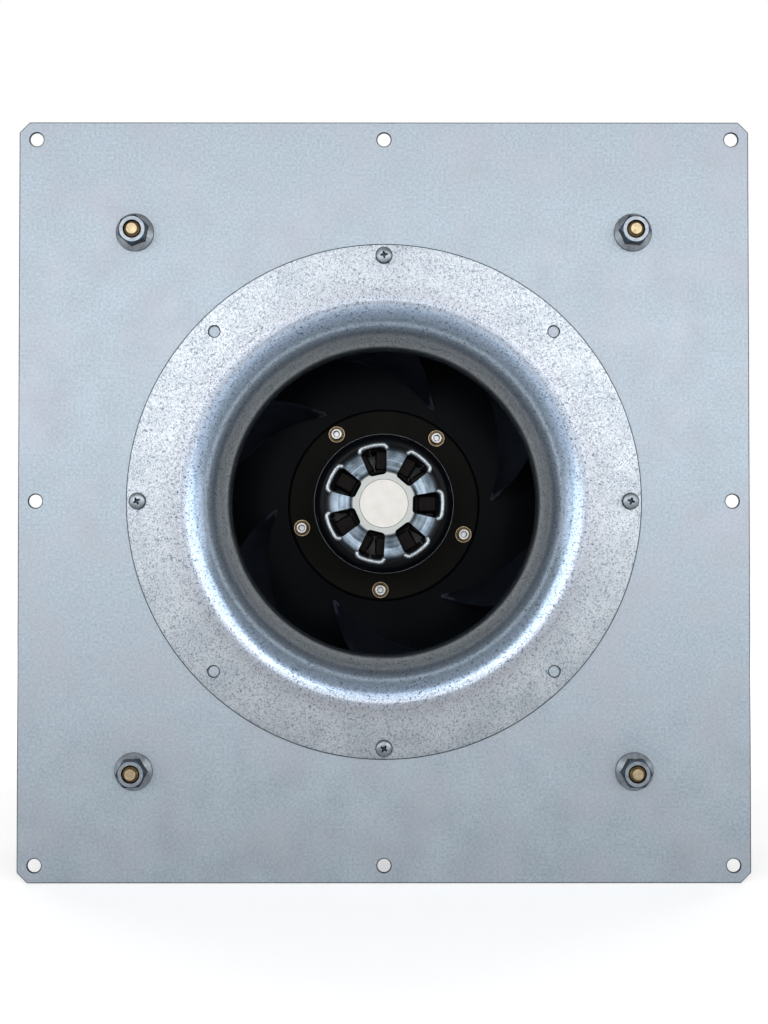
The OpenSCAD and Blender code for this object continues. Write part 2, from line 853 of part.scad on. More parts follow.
module bearing_cage(front) {
    half_w = race_r + 0.65;
    middle = front + bearing_w / 2;
    color("goldenrod") as_seen() difference() {
        tube(ball_ring_r + 0.9, middle - half_w, middle + half_w, ball_ring_r - 0.9);
        ring_of(ball_count, ball_ring_r)
            translate([0, 0, -middle]) rotate([0, 90, 0]) cylinder(r = ball_r + 0.12, h = 4, center = true);
    }
}

module front_bearing_inner_ring() { inner_ring(front_bearing_front); }
module front_bearing_outer_ring() { outer_ring(front_bearing_front); }
module front_bearing_balls() { bearing_balls(front_bearing_front); }
module front_bearing_cage() { bearing_cage(front_bearing_front); }
module rear_bearing_inner_ring() { inner_ring(rear_bearing_front); }
module rear_bearing_outer_ring() { outer_ring(rear_bearing_front); }
module rear_bearing_balls() { bearing_balls(rear_bearing_front); }
module rear_bearing_cage() { bearing_cage(rear_bearing_front); }

module preload_washer() {
    t = 0.6;
    color("gray") as_seen() turned([
        [ball_ring_r + land + 0.2, front_seat - t], [bearing_r - 0.4, front_bearing_back],
        [bearing_r - 0.4, front_bearing_back + t], [ball_ring_r + land + 0.2, front_seat]
    ]);
}

// Stator

module stator_flange() {
    shoulder_r = ball_ring_r + land;
    seal_r = core_r + 3.5;
    color("gainsboro") as_seen() difference() {
        union() {
            turned([
                [bearing_r, tube_front], [tube_r - 0.6, tube_front], [tube_r, tube_front + 0.6],
                [tube_r, rear_bearing_front], [tube_r + 4, stator_front], [seal_r, stator_front],
                [seal_r, stator_front - 6], [seal_r + 2, stator_front - 6], [seal_r + 2, stator_front],
                [pot_r - 1, stator_front], [pot_r, stator_front + 1], [pot_r, bracket_front],
                [bearing_r, bracket_front], [bearing_r, rear_bearing_front],
                [shoulder_r, rear_bearing_front], [shoulder_r, front_seat], [bearing_r, front_seat]
            ]);
            between(stator_front, bracket_front) for (i = [0:3])
                rotate(stator_leg_first + 90 * i) {
                    translate([lug_r, 0]) circle(d = lug_d);
                    polygon([
                        [pot_shell_r, -lug_d], [lug_r, -lug_d / 2], [lug_r, lug_d / 2], [pot_shell_r, lug_d]
                    ]);
                }
            for (i = [0:7])
                rotate(22.5 + 45 * i) between(stator_front - 3, stator_front)
                    translate([tube_r, -1.5]) square([seal_r - tube_r, 3]);
        }
        ring_of(4, lug_r, stator_leg_first) tube(m6 / 2 + seat_gap, stator_front - 1, bracket_front + 1);
        ring_of(4, pot_screw_r, 45) tube(m4 / 2 + seat_gap, stator_front + 1, bracket_front + 1);
        ring_of(3, winding_pin_r, winding_pin_first)
            tube(pin_hole_r, rear_bearing_front, bracket_front + 1);
    }
}

// Outline of a lamination, with the teeth grown by a margin
module lamination(margin = 0) {
    tip_in = core_r - 3.5;
    slot_open = 2.6;
    difference() {
        circle(tube_r + yoke_t + margin);
        circle(tube_r + seat_gap);
    }
    ring_of(tooth_count, 0)
        translate([tube_r + 1, -tooth_w / 2 - margin]) square([core_r - tube_r - 2, tooth_w + 2 * margin]);
    difference() {
        circle(core_r);
        circle(tip_in - margin);
        ring_of(tooth_count, 0, 180 / tooth_count)
            translate([tube_r, margin - slot_open / 2]) square([core_r, slot_open - 2 * margin]);
    }
}

module stator_core() {
    color("slategray") as_seen() between(core_front, core_back) lamination();
}

// End insulator: a lamination-shaped plate with an inner collar and a wall on each tooth tip
module slot_insulator(plate_front, wall_front) {
    wall_back = wall_front + end_turn + 1;
    color("black") as_seen() {
        between(plate_front, plate_front + insulator_t) lamination(0.4);
        tube(tube_r + yoke_t + 0.4, wall_front, wall_back, tube_r + yoke_t - 1.6);
        between(wall_front, wall_back) difference() {
            circle(core_r - 0.4);
            circle(core_r - 2.4);
            ring_of(tooth_count, 0, 180 / tooth_count) translate([tube_r, -3.4]) square([core_r, 6.8]);
        }
    }
}

module front_slot_insulator() {
    slot_insulator(core_front - insulator_t, core_front - insulator_t - end_turn - 1);
}

module rear_slot_insulator() {
    slot_insulator(core_back, core_back + insulator_t);
}

// Coils, one round each tooth, lying on the end insulators
module stator_coils() {
    inner_x = tube_r + yoke_t + 1;
    outer_x = core_r - 4.6;
    side_w = min(3, inner_x * tan(180 / tooth_count) - tooth_w / 2 - 0.9);
    hole_w = tooth_w + 1;
    hole_l = core_l + 2 * insulator_t + 0.1;
    middle = (core_front + core_back) / 2;
    color("peru") as_seen() ring_of(tooth_count, inner_x, 0)
        translate([0, 0, -middle]) rotate([90, 0, 90]) linear_extrude(outer_x - inner_x) difference() {
            polygon(rounded(rectangle(hole_w + 2 * side_w, hole_l + 2 * end_turn - 1), side_w * 0.8));
            polygon(rectangle(hole_w, hole_l));
        }
}

winding_pin_r = tube_r + yoke_t - 0.6;
winding_pin_first = 30;

module winding_pins() {
    color("orange") as_seen() ring_of(3, winding_pin_r, winding_pin_first)
        tube(0.8, core_back + insulator_t + end_turn + 1, board_back + 2);
}

// Electronics

// Outline of the pot, drawn in from its edge by a distance
module pot_outline(inset = 0) {
    circle(pot_shell_r - inset);
    w = box_half_w - inset;
    y = box_y + inset;
    polygon(rounded([[-w, y], [w, y], [w, -pot_shell_r * 0.7], [-w, -pot_shell_r * 0.7]], 4));
}

module pot_columns() {
    ring_of(6, column_r, 30) circle(d = column_d);
}

module electronics_pot() {
    color("gainsboro") as_seen() difference() {
        union() {
            difference() {
                union() {
                    tube(pot_shell_r, bracket_front, pot_back);
                    between(box_front, pot_back) pot_outline();
                    for (i = [0:fin_count - 1])
                        let (turn = 360 * (i + 0.5) / fin_count)
                            if (abs(turn - 270) > 36)
                                rotate(turn) between(bracket_back + 1, pot_back - 4)
                                    translate([pot_shell_r - 1, -1]) square([fin_h + 1, 2]);
                }
                tube(pot_shell_r - pot_wall, pot_floor, pot_back + 1);
            }
            between(pot_floor - 1, pot_back) intersection() {
                pot_columns();
                circle(pot_shell_r - 1);
            }
            ring_of(4, standoff_r) tube(standoff_d / 2, pot_floor - 1, board_front);
        }
        ring_of(6, column_r, 30) tube(m4 / 2 + seat_gap, pot_back - 14, pot_back + 1);
        ring_of(4, standoff_r) tube(m3 / 2 + seat_gap, board_front - 8, board_front + 1);
        ring_of(4, pot_screw_r, 45) tube((m4 + screw_gap) / 2, bracket_front - 1, pot_floor + 1);
        ring_of(3, winding_pin_r, winding_pin_first) tube(pin_hole_r, bracket_front - 1, pot_floor + 1);
        at_glands() cylinder(d = gland_thread_d, h = pot_shell_r, center = true);
        earth_place() translate([0, 0, -earth_l]) cylinder(r = m5 / 2 + seat_gap, h = earth_l + 1);
    }
}

// Places on the pot: the glands' mouths, with z leaving the box downwards, and the earth screw's seat
module at_glands() {
    for (side = [-1, 1])
        translate([side * gland_span / 2, box_y, -gland_depth]) rotate([90, 0, 0]) children();
}

module earth_place() {
    translate([box_half_w, box_y + earth_rise, -gland_depth]) rotate([0, 90, 0]) children();
}

module pot_screws() {
    color("gainsboro") as_seen() ring_of(4, pot_screw_r, 45)
        translate([0, 0, -pot_floor]) rotate([180, 0, 0]) pan_screw(m4, 8, 3, stator_flange_t);
}

module power_module() {
    w = board_r * 0.8;
    h = w * 0.6;
    color("black") as_seen() between(pot_floor, pot_floor + board_rise / 2)
        translate([0, standoff_r / 2 + 4]) difference() {
            polygon(rounded(rectangle(w, h), 1.5));
            for (side = [-1, 1])
                translate([side * (w / 2 - 4), 0]) circle(d = m3 + screw_gap);
        }
}

module circuit_board() {
    color("darkgreen") as_seen() between(board_front, board_back) difference() {
        circle(board_r);
        ring_of(4, standoff_r) circle(d = m3 + screw_gap);
        ring_of(3, winding_pin_r, winding_pin_first) circle(0.9);
        at_capacitors() for (side = [-1, 1])
            translate([side * 3.75, 0]) circle(0.6);
    }
}

module board_screws() {
    color("gainsboro") as_seen() ring_of(4, standoff_r)
        translate([0, 0, -board_back]) rotate([180, 0, 0]) pan_screw(m3, 6, 2.2, 7);
}

module at_capacitors() {
    for (turn = [90, 135, 180])
        rotate(turn) translate([standoff_r - m3 - 1 - capacitor_d / 2, 0]) children();
}

module capacitors() {
    r = capacitor_d / 2;
    top = pot_back - 4;
    crimp = board_back + 3;
    color("midnightblue") as_seen() at_capacitors() turned([
        [0, board_back], [r - 0.4, board_back], [r, board_back + 0.6], [r, crimp], [r - 0.6, crimp + 0.8],
        [r, crimp + 1.6], [r, top - 1], [r - 1, top], [0, top]
    ]);
}

module line_choke() {
    winding_w = choke_d * 0.32;
    color("saddlebrown") as_seen() rotate(-5)
        translate([standoff_r - m3 - 2 - choke_d / 2, 0, -board_back - choke_h / 2])
            rotate_extrude() translate([(choke_d - winding_w) / 2, 0])
                polygon(rounded(rectangle(winding_w, choke_h), winding_w * 0.28));
}

module terminal_blocks() {
    back = board_back + terminal_h;
    pitch = terminal_w * 0.3;
    color("gray") as_seen() for (side = [-1, 1])
        translate([side * gland_span / 2, terminal_d / 2 + 12 - standoff_r]) difference() {
            between(board_back, back) polygon(rounded(rectangle(terminal_w, terminal_d), 1));
            for (i = [-1:1]) {
                translate([i * pitch, 1.5]) tube(pitch * 0.3, back - 6, back + 1);
                translate([i * pitch, -terminal_d / 2, -back + 5]) cube([5, 10, 5], center = true);
            }
        }
}

module cover_gasket() {
    color([0.12, 0.12, 0.12]) as_seen() between(pot_back, cover_front) difference() {
        union() {
            difference() {
                pot_outline(0.3);
                circle(pot_shell_r - pot_wall);
            }
            intersection() {
                pot_columns();
                circle(pot_shell_r - 0.3);
            }
        }
        ring_of(6, column_r, 30) circle(d = m4 + screw_gap);
    }
}

module electronics_cover() {
    dome_h = 3;
    dome_r = column_r - column_d;
    rib_h = 4;
    rib_w = 2.5;
    rib_pitch = 12;
    color([0.2, 0.2, 0.21]) as_seen() difference() {
        union() {
            between(cover_front, cover_back) pot_outline();
            turned([
                [0, cover_back - 1], [dome_r, cover_back - 1], [dome_r, cover_back],
                [dome_r - dome_h, cover_back + dome_h], [0, cover_back + dome_h]
            ]);
            between(cover_back, cover_back + dome_h + rib_h) intersection() {
                circle(dome_r - dome_h - 1);
                for (i = [-3:3])
                    translate([i * rib_pitch - rib_w / 2, -dome_r]) square([rib_w, 2 * dome_r]);
            }
        }
        ring_of(6, column_r, 30) tube((m4 + screw_gap) / 2, cover_front - 1, cover_back + 1);
    }
}

module cover_screws() {
    color("gainsboro") as_seen() ring_of(6, column_r, 30)
        translate([0, 0, -cover_back]) rotate([180, 0, 0])
            pan_screw(m4, 8, 3, cover_t + gasket_t + 10);
}

// Cable glands, drawn with z leaving the pot

gland_hex_h = 6;
gland_thread_l = 12;
collar_h = 10;

module hex_prism(af, front, back) {
    translate([0, 0, front]) cylinder(r = af / sqrt(3), h = back - front, $fn = 6);
}

module gland_bodies() {
    thread_r = gland_thread_d / 2 - seat_gap;
    color("gray") as_seen() at_glands() difference() {
        union() {
            translate([0, 0, -gland_thread_l]) cylinder(r = thread_r, h = gland_thread_l);
            hex_prism(gland_af, 0, gland_hex_h);
            translate([0, 0, gland_hex_h]) cylinder(r = thread_r - 0.5, h = collar_h);
        }
        translate([0, 0, -gland_thread_l - 1])
            cylinder(r = thread_r - 2, h = gland_thread_l + gland_hex_h + collar_h + 2);
    }
}

module gland_seals() {
    r = gland_thread_d / 2 - 2.2;
    front = gland_hex_h - 2;
    color([0.15, 0.15, 0.15]) as_seen() at_glands() difference() {
        union() {
            translate([0, 0, front]) cylinder(r = r, h = 13);
            translate([0, 0, front + 13]) cylinder(r1 = r, r2 = cable_d / 2 + 1, h = 4.5);
        }
        translate([0, 0, front - 1]) cylinder(d = cable_d, h = 20);
    }
}

module gland_cap_nuts() {
    front = gland_hex_h + 1;
    hex_back = front + 8;
    dome_back = hex_back + 7;
    inner = gland_thread_d / 2 - 0.4;
    mouth = cable_d / 2 + 1.2;
    color("gray") as_seen() at_glands() difference() {
        union() {
            hex_prism(gland_af, front, hex_back);
            translate([0, 0, hex_back])
                cylinder(r1 = gland_af / 2, r2 = mouth + 2.6, h = dome_back - hex_back);
        }
        translate([0, 0, front - 1]) cylinder(r = inner, h = hex_back - front + 3.2);
        translate([0, 0, hex_back + 2.2]) cylinder(r1 = inner, r2 = mouth, h = dome_back - hex_back - 2.2);
        translate([0, 0, dome_back - 1]) cylinder(r = mouth, h = 2);
    }
}

module earth_screw() {
    color("gold") as_seen() earth_place() pan_screw(m5, 9.5, 3.2, earth_l - 0.5);
}

mounting_plate();
inlet_nozzle();
nozzle_screws();
clinch_nuts();
spacer_posts();
front_flange_nuts();
rear_flange_nuts();
motor_bracket();
bracket_screws();
bracket_washers();
impeller_shroud();
impeller_blades();
impeller_hub();
impeller_washers();
impeller_screws();
rotor_cup();
rotor_label();
rotor_bush();
magnet_ring();
shaft();
retaining_ring();
front_bearing_inner_ring();
front_bearing_outer_ring();
front_bearing_balls();
front_bearing_cage();
rear_bearing_inner_ring();
rear_bearing_outer_ring();
rear_bearing_balls();
rear_bearing_cage();
preload_washer();
stator_flange();
stator_core();
front_slot_insulator();
rear_slot_insulator();
stator_coils();
winding_pins();
electronics_pot();
pot_screws();
power_module();
circuit_board();
board_screws();
capacitors();
line_choke();
terminal_blocks();
cover_gasket();
electronics_cover();
cover_screws();
gland_bodies();
gland_seals();
gland_cap_nuts();
earth_screw();
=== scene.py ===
"""Finishes and fine shapes of a backward-curved centrifugal fan, built round its packed construction."""
import json
import logging
import math
from dataclasses import dataclass, field
from enum import Enum
from typing import Callable, Iterator

import bpy
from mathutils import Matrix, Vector

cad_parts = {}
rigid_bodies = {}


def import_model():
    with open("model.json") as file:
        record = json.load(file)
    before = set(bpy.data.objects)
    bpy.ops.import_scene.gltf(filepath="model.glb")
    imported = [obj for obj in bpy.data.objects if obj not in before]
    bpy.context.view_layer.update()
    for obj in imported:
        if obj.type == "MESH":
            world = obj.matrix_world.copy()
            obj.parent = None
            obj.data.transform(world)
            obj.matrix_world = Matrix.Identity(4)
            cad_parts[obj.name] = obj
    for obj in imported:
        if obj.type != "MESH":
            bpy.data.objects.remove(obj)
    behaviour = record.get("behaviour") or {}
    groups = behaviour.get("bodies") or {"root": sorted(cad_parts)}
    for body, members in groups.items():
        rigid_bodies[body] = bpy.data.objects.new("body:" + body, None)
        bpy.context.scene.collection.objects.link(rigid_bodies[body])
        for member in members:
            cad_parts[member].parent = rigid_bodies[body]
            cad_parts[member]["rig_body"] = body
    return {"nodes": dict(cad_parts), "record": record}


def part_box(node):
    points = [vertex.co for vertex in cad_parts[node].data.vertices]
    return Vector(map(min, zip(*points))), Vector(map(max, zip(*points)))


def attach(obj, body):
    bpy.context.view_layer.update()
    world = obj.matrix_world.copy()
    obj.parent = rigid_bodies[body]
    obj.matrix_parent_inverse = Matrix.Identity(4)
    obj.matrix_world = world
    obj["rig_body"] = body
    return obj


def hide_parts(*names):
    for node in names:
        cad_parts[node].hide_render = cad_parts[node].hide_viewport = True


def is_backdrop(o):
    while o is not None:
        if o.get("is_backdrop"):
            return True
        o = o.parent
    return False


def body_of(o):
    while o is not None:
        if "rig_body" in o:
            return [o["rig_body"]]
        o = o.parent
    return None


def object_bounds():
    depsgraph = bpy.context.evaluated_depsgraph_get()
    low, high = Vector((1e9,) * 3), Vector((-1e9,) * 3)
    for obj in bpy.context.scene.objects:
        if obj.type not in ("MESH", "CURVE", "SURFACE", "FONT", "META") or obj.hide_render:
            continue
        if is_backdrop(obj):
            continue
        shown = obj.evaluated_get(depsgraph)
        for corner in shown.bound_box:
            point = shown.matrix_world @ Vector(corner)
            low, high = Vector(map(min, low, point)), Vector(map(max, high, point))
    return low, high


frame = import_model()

LOG = logging.getLogger("fan")

# A millimetre in metres, and the gap in metres that is closed between doubled vertices
MM = 0.001
MERGE_GAP = MM * 0.001
# How far a drill reaches out of a piece at both ends, in millimetres
OVERSHOOT = 1.0
# A face of a sheet has at least this much of its normal along the fan's axis, an edge has less
SHEET_FACE = 0.97
# Least angle in degrees at which an edge counts as sharp
SHARP_ANGLE = 32.0

Point = tuple[float, ...]


def polar(radius: float, degrees: float) -> Point:
    """Gives x and z of a point round the fan's axis, as seen from the inlet."""
    return radius * math.cos(math.radians(degrees)), radius * math.sin(math.radians(degrees))


def mix(start: float, end: float, share: float) -> float:
    """Gives the value that lies a share of the way from start to end."""
    return start + (end - start) * share


def shares(count: int) -> list[float]:
    """Gives count + 1 even steps from 0 to 1."""
    return [i / count for i in range(count + 1)]


def arc(centre: Point, radius: float, start: float, end: float, steps: int) -> list[Point]:
    """Gives points of an arc in a section.

    Args:
        centre: centre of the arc, as (radius, depth).
        radius: radius of the arc in millimetres.
        start: first angle in degrees, from outwards towards greater depth.
        end: last angle in degrees.
        steps: number of chords.

    Returns:
        The arc's points, as (radius, depth).
    """
    angles = [math.radians(mix(start, end, share)) for share in shares(steps)]
    return [(centre[0] + radius * math.cos(a), centre[1] + radius * math.sin(a)) for a in angles]


def rounded(corners: list[Point], radius: float, steps: int) -> list[Point]:
    """Rounds the corners of a closed outline.

    Args:
        corners: corners as (x, z).
        radius: radius of the rounding.
        steps: chords of each rounding.

    Returns:
        The outline's points.
    """
    points = []
    for i, here in enumerate(corners):
        at = Vector(here)
        back = (Vector(corners[i - 1]) - at).normalized()
        ahead = (Vector(corners[(i + 1) % len(corners)]) - at).normalized()
        half = math.acos(back.dot(ahead)) / 2
        centre = at + (back + ahead).normalized() * radius / math.sin(half)
        start = at + back * radius / math.tan(half) - centre
        end = at + ahead * radius / math.tan(half) - centre
        sweep = start.angle_signed(end)
        first = math.degrees(math.atan2(start.y, start.x))
        points += arc(tuple(centre), radius, first, first - math.degrees(sweep), steps)
    return points


class Slot(Enum):
    """The record's material slots."""

    SHEET = "galvanised_sheet"
    NOZZLE = "nozzle_zinc"
    HARDWARE = "zinc_hardware"
    YELLOW = "yellow_zinc"
    IMPELLER = "impeller_plastic"
    ROTOR = "rotor_steel"
    BEARING = "bearing_steel"
    SPRING = "spring_steel"
    CASTING = "cast_aluminium"
    CORE = "core_steel"
    INSULATOR = "insulator_plastic"
    COPPER = "enamelled_copper"
    MAGNET = "magnet_ferrite"
    CAGE = "cage_brass"
    NYLON = "black_nylon"
    RUBBER = "seal_rubber"
    LAMINATE = "board_laminate"
    SLEEVE = "capacitor_sleeve"
    FILM = "label_film"


class Workbench:
    """The modelling operators, used as a hand uses them. Lengths are in millimetres, places (x, depth, z)."""

    @staticmethod
    def drop_selection() -> None:
        """Leaves edit mode and deselects every object."""
        if bpy.context.object and bpy.context.object.mode != "OBJECT":
            bpy.ops.object.mode_set(mode="OBJECT")
        bpy.ops.object.select_all(action="DESELECT")

    @staticmethod
    def pick(piece: bpy.types.Object) -> None:
        """Makes one piece the only selected and the active one.

        Args:
            piece: the piece.
        """
        Workbench.drop_selection()
        piece.select_set(True)
        bpy.context.view_layer.objects.active = piece

    @staticmethod
    def edit(piece: bpy.types.Object) -> None:
        """Opens a piece in edit mode with all of it selected.

        Args:
            piece: the piece.
        """
        Workbench.pick(piece)
        bpy.ops.object.mode_set(mode="EDIT")
        bpy.ops.mesh.select_mode(type="VERT")
        bpy.ops.mesh.select_all(action="SELECT")

    @staticmethod
    def close_up() -> None:
        """Merges doubled vertices, turns the faces outwards and leaves edit mode."""
        bpy.ops.mesh.select_all(action="SELECT")
        bpy.ops.mesh.remove_doubles(threshold=MERGE_GAP)
        bpy.ops.mesh.normals_make_consistent(inside=False)
        bpy.ops.object.mode_set(mode="OBJECT")

    @staticmethod
    def trace(name: str, points: list[Point], closed: bool = True) -> bpy.types.Object:
        """Draws a chain of edges by extruding one vertex from point to point, and stays in edit mode.

        Args:
            name: name of the piece.
            points: corners of the chain, as (x, depth, z).
            closed: whether the last corner is joined to the first.

        Returns:
            The piece, all of it selected.
        """
        Workbench.drop_selection()
        bpy.ops.mesh.primitive_plane_add(size=MM, location=(0, 0, 0))
        piece = bpy.context.object
        piece.name = piece.data.name = name
        bpy.ops.object.mode_set(mode="EDIT")
        bpy.ops.mesh.merge(type="CENTER")
        bpy.ops.transform.translate(value=Vector(points[0]) * MM)
        chain = points + points[:1] if closed else points
        for here, there in zip(chain, chain[1:]):
            step = (Vector(there) - Vector(here)) * MM
            bpy.ops.mesh.extrude_region_move(TRANSFORM_OT_translate={"value": step})
        bpy.ops.mesh.select_all(action="SELECT")
        bpy.ops.mesh.remove_doubles(threshold=MERGE_GAP)
        return piece

    @staticmethod
    def turn(name: str, section: list[Point], segments: int, closed: bool = True) -> bpy.types.Object:
        """Turns a half section once round the fan's axis.

        Args:
            name: name of the piece.
            section: corners of the half section, as (radius, depth).
            segments: number of steps of the full turn.
            closed: whether the section is closed on itself.

        Returns:
            The turned piece.
        """
        piece = Workbench.trace(name, [(r, depth, 0) for r, depth in section], closed)
        bpy.ops.mesh.select_all(action="SELECT")
        bpy.ops.mesh.spin(steps=segments, angle=math.tau, center=(0, 0, 0), axis=(0, 1, 0))
        Workbench.close_up()
        return piece

    @staticmethod
    def slab(name: str, outline: list[Point], front: float, back: float) -> bpy.types.Object:
        """Extrudes an outline between two depths.

        Args:
            name: name of the piece.
            outline: corners as (x, z).
            front: depth of the front face.
            back: depth of the back face.

        Returns:
            The extruded piece.
        """
        piece = Workbench.trace(name, [(x, front, z) for x, z in outline])
        bpy.ops.mesh.edge_face_add()
        bpy.ops.mesh.extrude_region_move(TRANSFORM_OT_translate={"value": (0, (back - front) * MM, 0)})
        Workbench.close_up()
        return piece

    @staticmethod
    def prism(name: str, sides: int, radius: float, front: float, back: float) -> bpy.types.Object:
        """Adds a regular prism on the fan's axis, shaped in place; its first corner points along +X."""
        corners = [polar(radius, 360 * i / sides) for i in range(sides)]
        return Workbench.slab(name, corners, front, back)

    @staticmethod
    def tube(name: str, path: list[Point], radius: float, ends: float) -> bpy.types.Object:
        """Draws a round bead along a path of points (x, depth, z).

        Args:
            name: name of the piece.
            path: points of its middle line.
            radius: radius of the bead.
            ends: share of the radius that is left at both ends.

        Returns:
            The bead as a closed mesh.
        """
        piece = Workbench.trace(name, path, closed=False)
        Workbench.pick(piece)
        bpy.ops.object.convert(target="CURVE")
        piece = bpy.context.object
        piece.data.bevel_depth = radius * MM
        piece.data.bevel_resolution = 5
        piece.data.use_fill_caps = True
        for point in (piece.data.splines[0].points[0], piece.data.splines[0].points[-1]):
            point.radius = ends
        bpy.ops.object.convert(target="MESH")
        piece = bpy.context.object
        Workbench.edit(piece)
        Workbench.close_up()
        return piece

    @staticmethod
    def modify(piece: bpy.types.Object, kind: str, **settings: object) -> None:
        """Adds a modifier and applies it.

        Args:
            piece: the piece.
            kind: type of the modifier.
            settings: its properties.
        """
        Workbench.pick(piece)
        bpy.ops.object.modifier_add(type=kind)
        modifier = piece.modifiers[-1]
        for key, value in settings.items():
            setattr(modifier, key, value)
        bpy.ops.object.modifier_apply(modifier=modifier.name)

    @staticmethod
    def combine(piece: bpy.types.Object, tool: bpy.types.Object, operation: str = "DIFFERENCE") -> None:
        """Cuts a piece with a tool, or joins or crosses them, and removes the tool."""
        Workbench.modify(piece, "BOOLEAN", object=tool, operation=operation, solver="EXACT")
        bpy.data.objects.remove(tool)

    @staticmethod
    def join(pieces: list[bpy.types.Object]) -> bpy.types.Object:
        """Joins pieces into the first one.

        Args:
            pieces: the pieces.

        Returns:
            The first piece, which then holds them all.
        """
        Workbench.drop_selection()
        for piece in pieces:
            piece.select_set(True)
        bpy.context.view_layer.objects.active = pieces[0]
        bpy.ops.object.join()
        return pieces[0]

    @staticmethod
    def drill(piece: bpy.types.Object, holes: list[Point], front: float, back: float, sides: int) -> None:
        """Drills round holes through a piece.

        Args:
            piece: the piece.
            holes: the holes as (x, z, radius).
            front: depth of the piece's front.
            back: depth of its back.
            sides: number of sides of a hole.
        """
        drills = []
        for x, z, radius in holes:
            drills.append(Workbench.prism("drill", sides, radius, front - OVERSHOOT, back + OVERSHOOT))
            Workbench.place(drills[-1], (x, 0, z))
        Workbench.combine(piece, Workbench.join(drills))

    @staticmethod
    def soften(piece: bpy.types.Object, width: float) -> None:
        """Rounds the sharp edges and shades the rest smooth.

        Args:
            piece: the piece.
            width: width of the rounding in millimetres.
        """
        Workbench.modify(
            piece, "BEVEL", width=width * MM, segments=2, limit_method="ANGLE",
            angle_limit=math.radians(SHARP_ANGLE), use_clamp_overlap=False, miter_outer="MITER_ARC",
        )
        Workbench.smooth(piece)

    @staticmethod
    def smooth(piece: bpy.types.Object, limit: float = 48.0) -> None:
        """Shades a piece smooth, with normals that follow its large faces.

        Args:
            piece: the piece.
            limit: angle in degrees up to which an edge is smooth.
        """
        Workbench.pick(piece)
        bpy.ops.object.shade_smooth_by_angle(angle=math.radians(limit))
        Workbench.modify(piece, "WEIGHTED_NORMAL", keep_sharp=True, weight=60)

    @staticmethod
    def copy(piece: bpy.types.Object, name: str) -> bpy.types.Object:
        """Copies a piece with a mesh of its own.

        Args:
            piece: the piece.
            name: name of the copy.

        Returns:
            The copy, in the same place.
        """
        Workbench.pick(piece)
        bpy.ops.object.duplicate(linked=False)
        twin = bpy.context.object
        twin.name = twin.data.name = name
        return twin

    @staticmethod
    def series(master: bpy.types.Object, count: int) -> Iterator[bpy.types.Object]:
        """Gives the pieces of a numbered series one by one, each with a mesh of its own.

        Args:
            master: the series' first piece, with a name that ends in 1.
            count: number of pieces.

        Returns:
            The copies, numbered from 2, and then the master.
        """
        stem = master.name.removesuffix("1")
        for number in range(2, count + 1):
            yield Workbench.copy(master, f"{stem}{number}")
        yield master

    @staticmethod
    def place(piece: bpy.types.Object, where: Point, turn: Point = (0, 0, 0)) -> None:
        """Turns a piece about its own origin, carries it to its place and applies both.

        Args:
            piece: the piece.
            where: the place, as (x, depth, z).
            turn: turns in degrees about X, Y and Z, in that order.
        """
        Workbench.pick(piece)
        piece.rotation_euler = [math.radians(a) for a in turn]
        piece.location = Vector(where) * MM
        bpy.ops.object.transform_apply(location=True, rotation=True, scale=True)

    @staticmethod
    def merged_copy(node: str, name: str) -> bpy.types.Object:
        """Copies a CAD node's loose triangles as one merged mesh with its flat faces whole.

        Args:
            node: the CAD node.
            name: name of the copy.

        Returns:
            The copy.
        """
        piece = bpy.data.objects.new(name, frame["nodes"][node].data.copy())
        piece.data.name = name
        bpy.context.scene.collection.objects.link(piece)
        Workbench.edit(piece)
        bpy.ops.mesh.customdata_custom_splitnormals_clear()
        bpy.ops.mesh.remove_doubles(threshold=MERGE_GAP)
        bpy.ops.mesh.dissolve_limited(angle_limit=math.radians(0.4))
        bpy.ops.object.mode_set(mode="OBJECT")
        return piece


def linear(code: str) -> tuple[float, float, float, float]:
    """Turns a colour to linear.

    Args:
        code: the sRGB colour in hex, as #rrggbb.

    Returns:
        The linear colour that a socket takes.
    """
    channels = [int(code[i:i + 2], 16) / 255 for i in (1, 3, 5)]
    curve = [c / 12.92 if c <= 0.04045 else ((c + 0.055) / 1.055) ** 2.4 for c in channels]
    return (*curve, 1.0)


def add(
    tree: bpy.types.NodeTree, kind: str, inputs: dict | None = None, **settings: object
) -> bpy.types.Node:
    """Adds a node with its settings and links.

    Args:
        tree: the tree that takes the node.
        kind: type of the node.
        inputs: values and linked outputs by socket name or number.
        settings: properties of the node; stops are a ramp's colours by position.

    Returns:
        The node.
    """
    node = tree.nodes.new(kind)
    for key, value in settings.items():
        if key == "stops":
            ramp = node.color_ramp.elements
            while len(ramp) < len(value):
                ramp.new(0.5)
            for stop, (position, colour) in zip(ramp, sorted(value.items())):
                stop.position = position
                stop.color = colour
        else:
            setattr(node, key, value)
    for socket, value in (inputs or {}).items():
        if isinstance(value, bpy.types.NodeSocket):
            tree.links.new(value, node.inputs[socket])
        else:
            node.inputs[socket].default_value = value
    return node


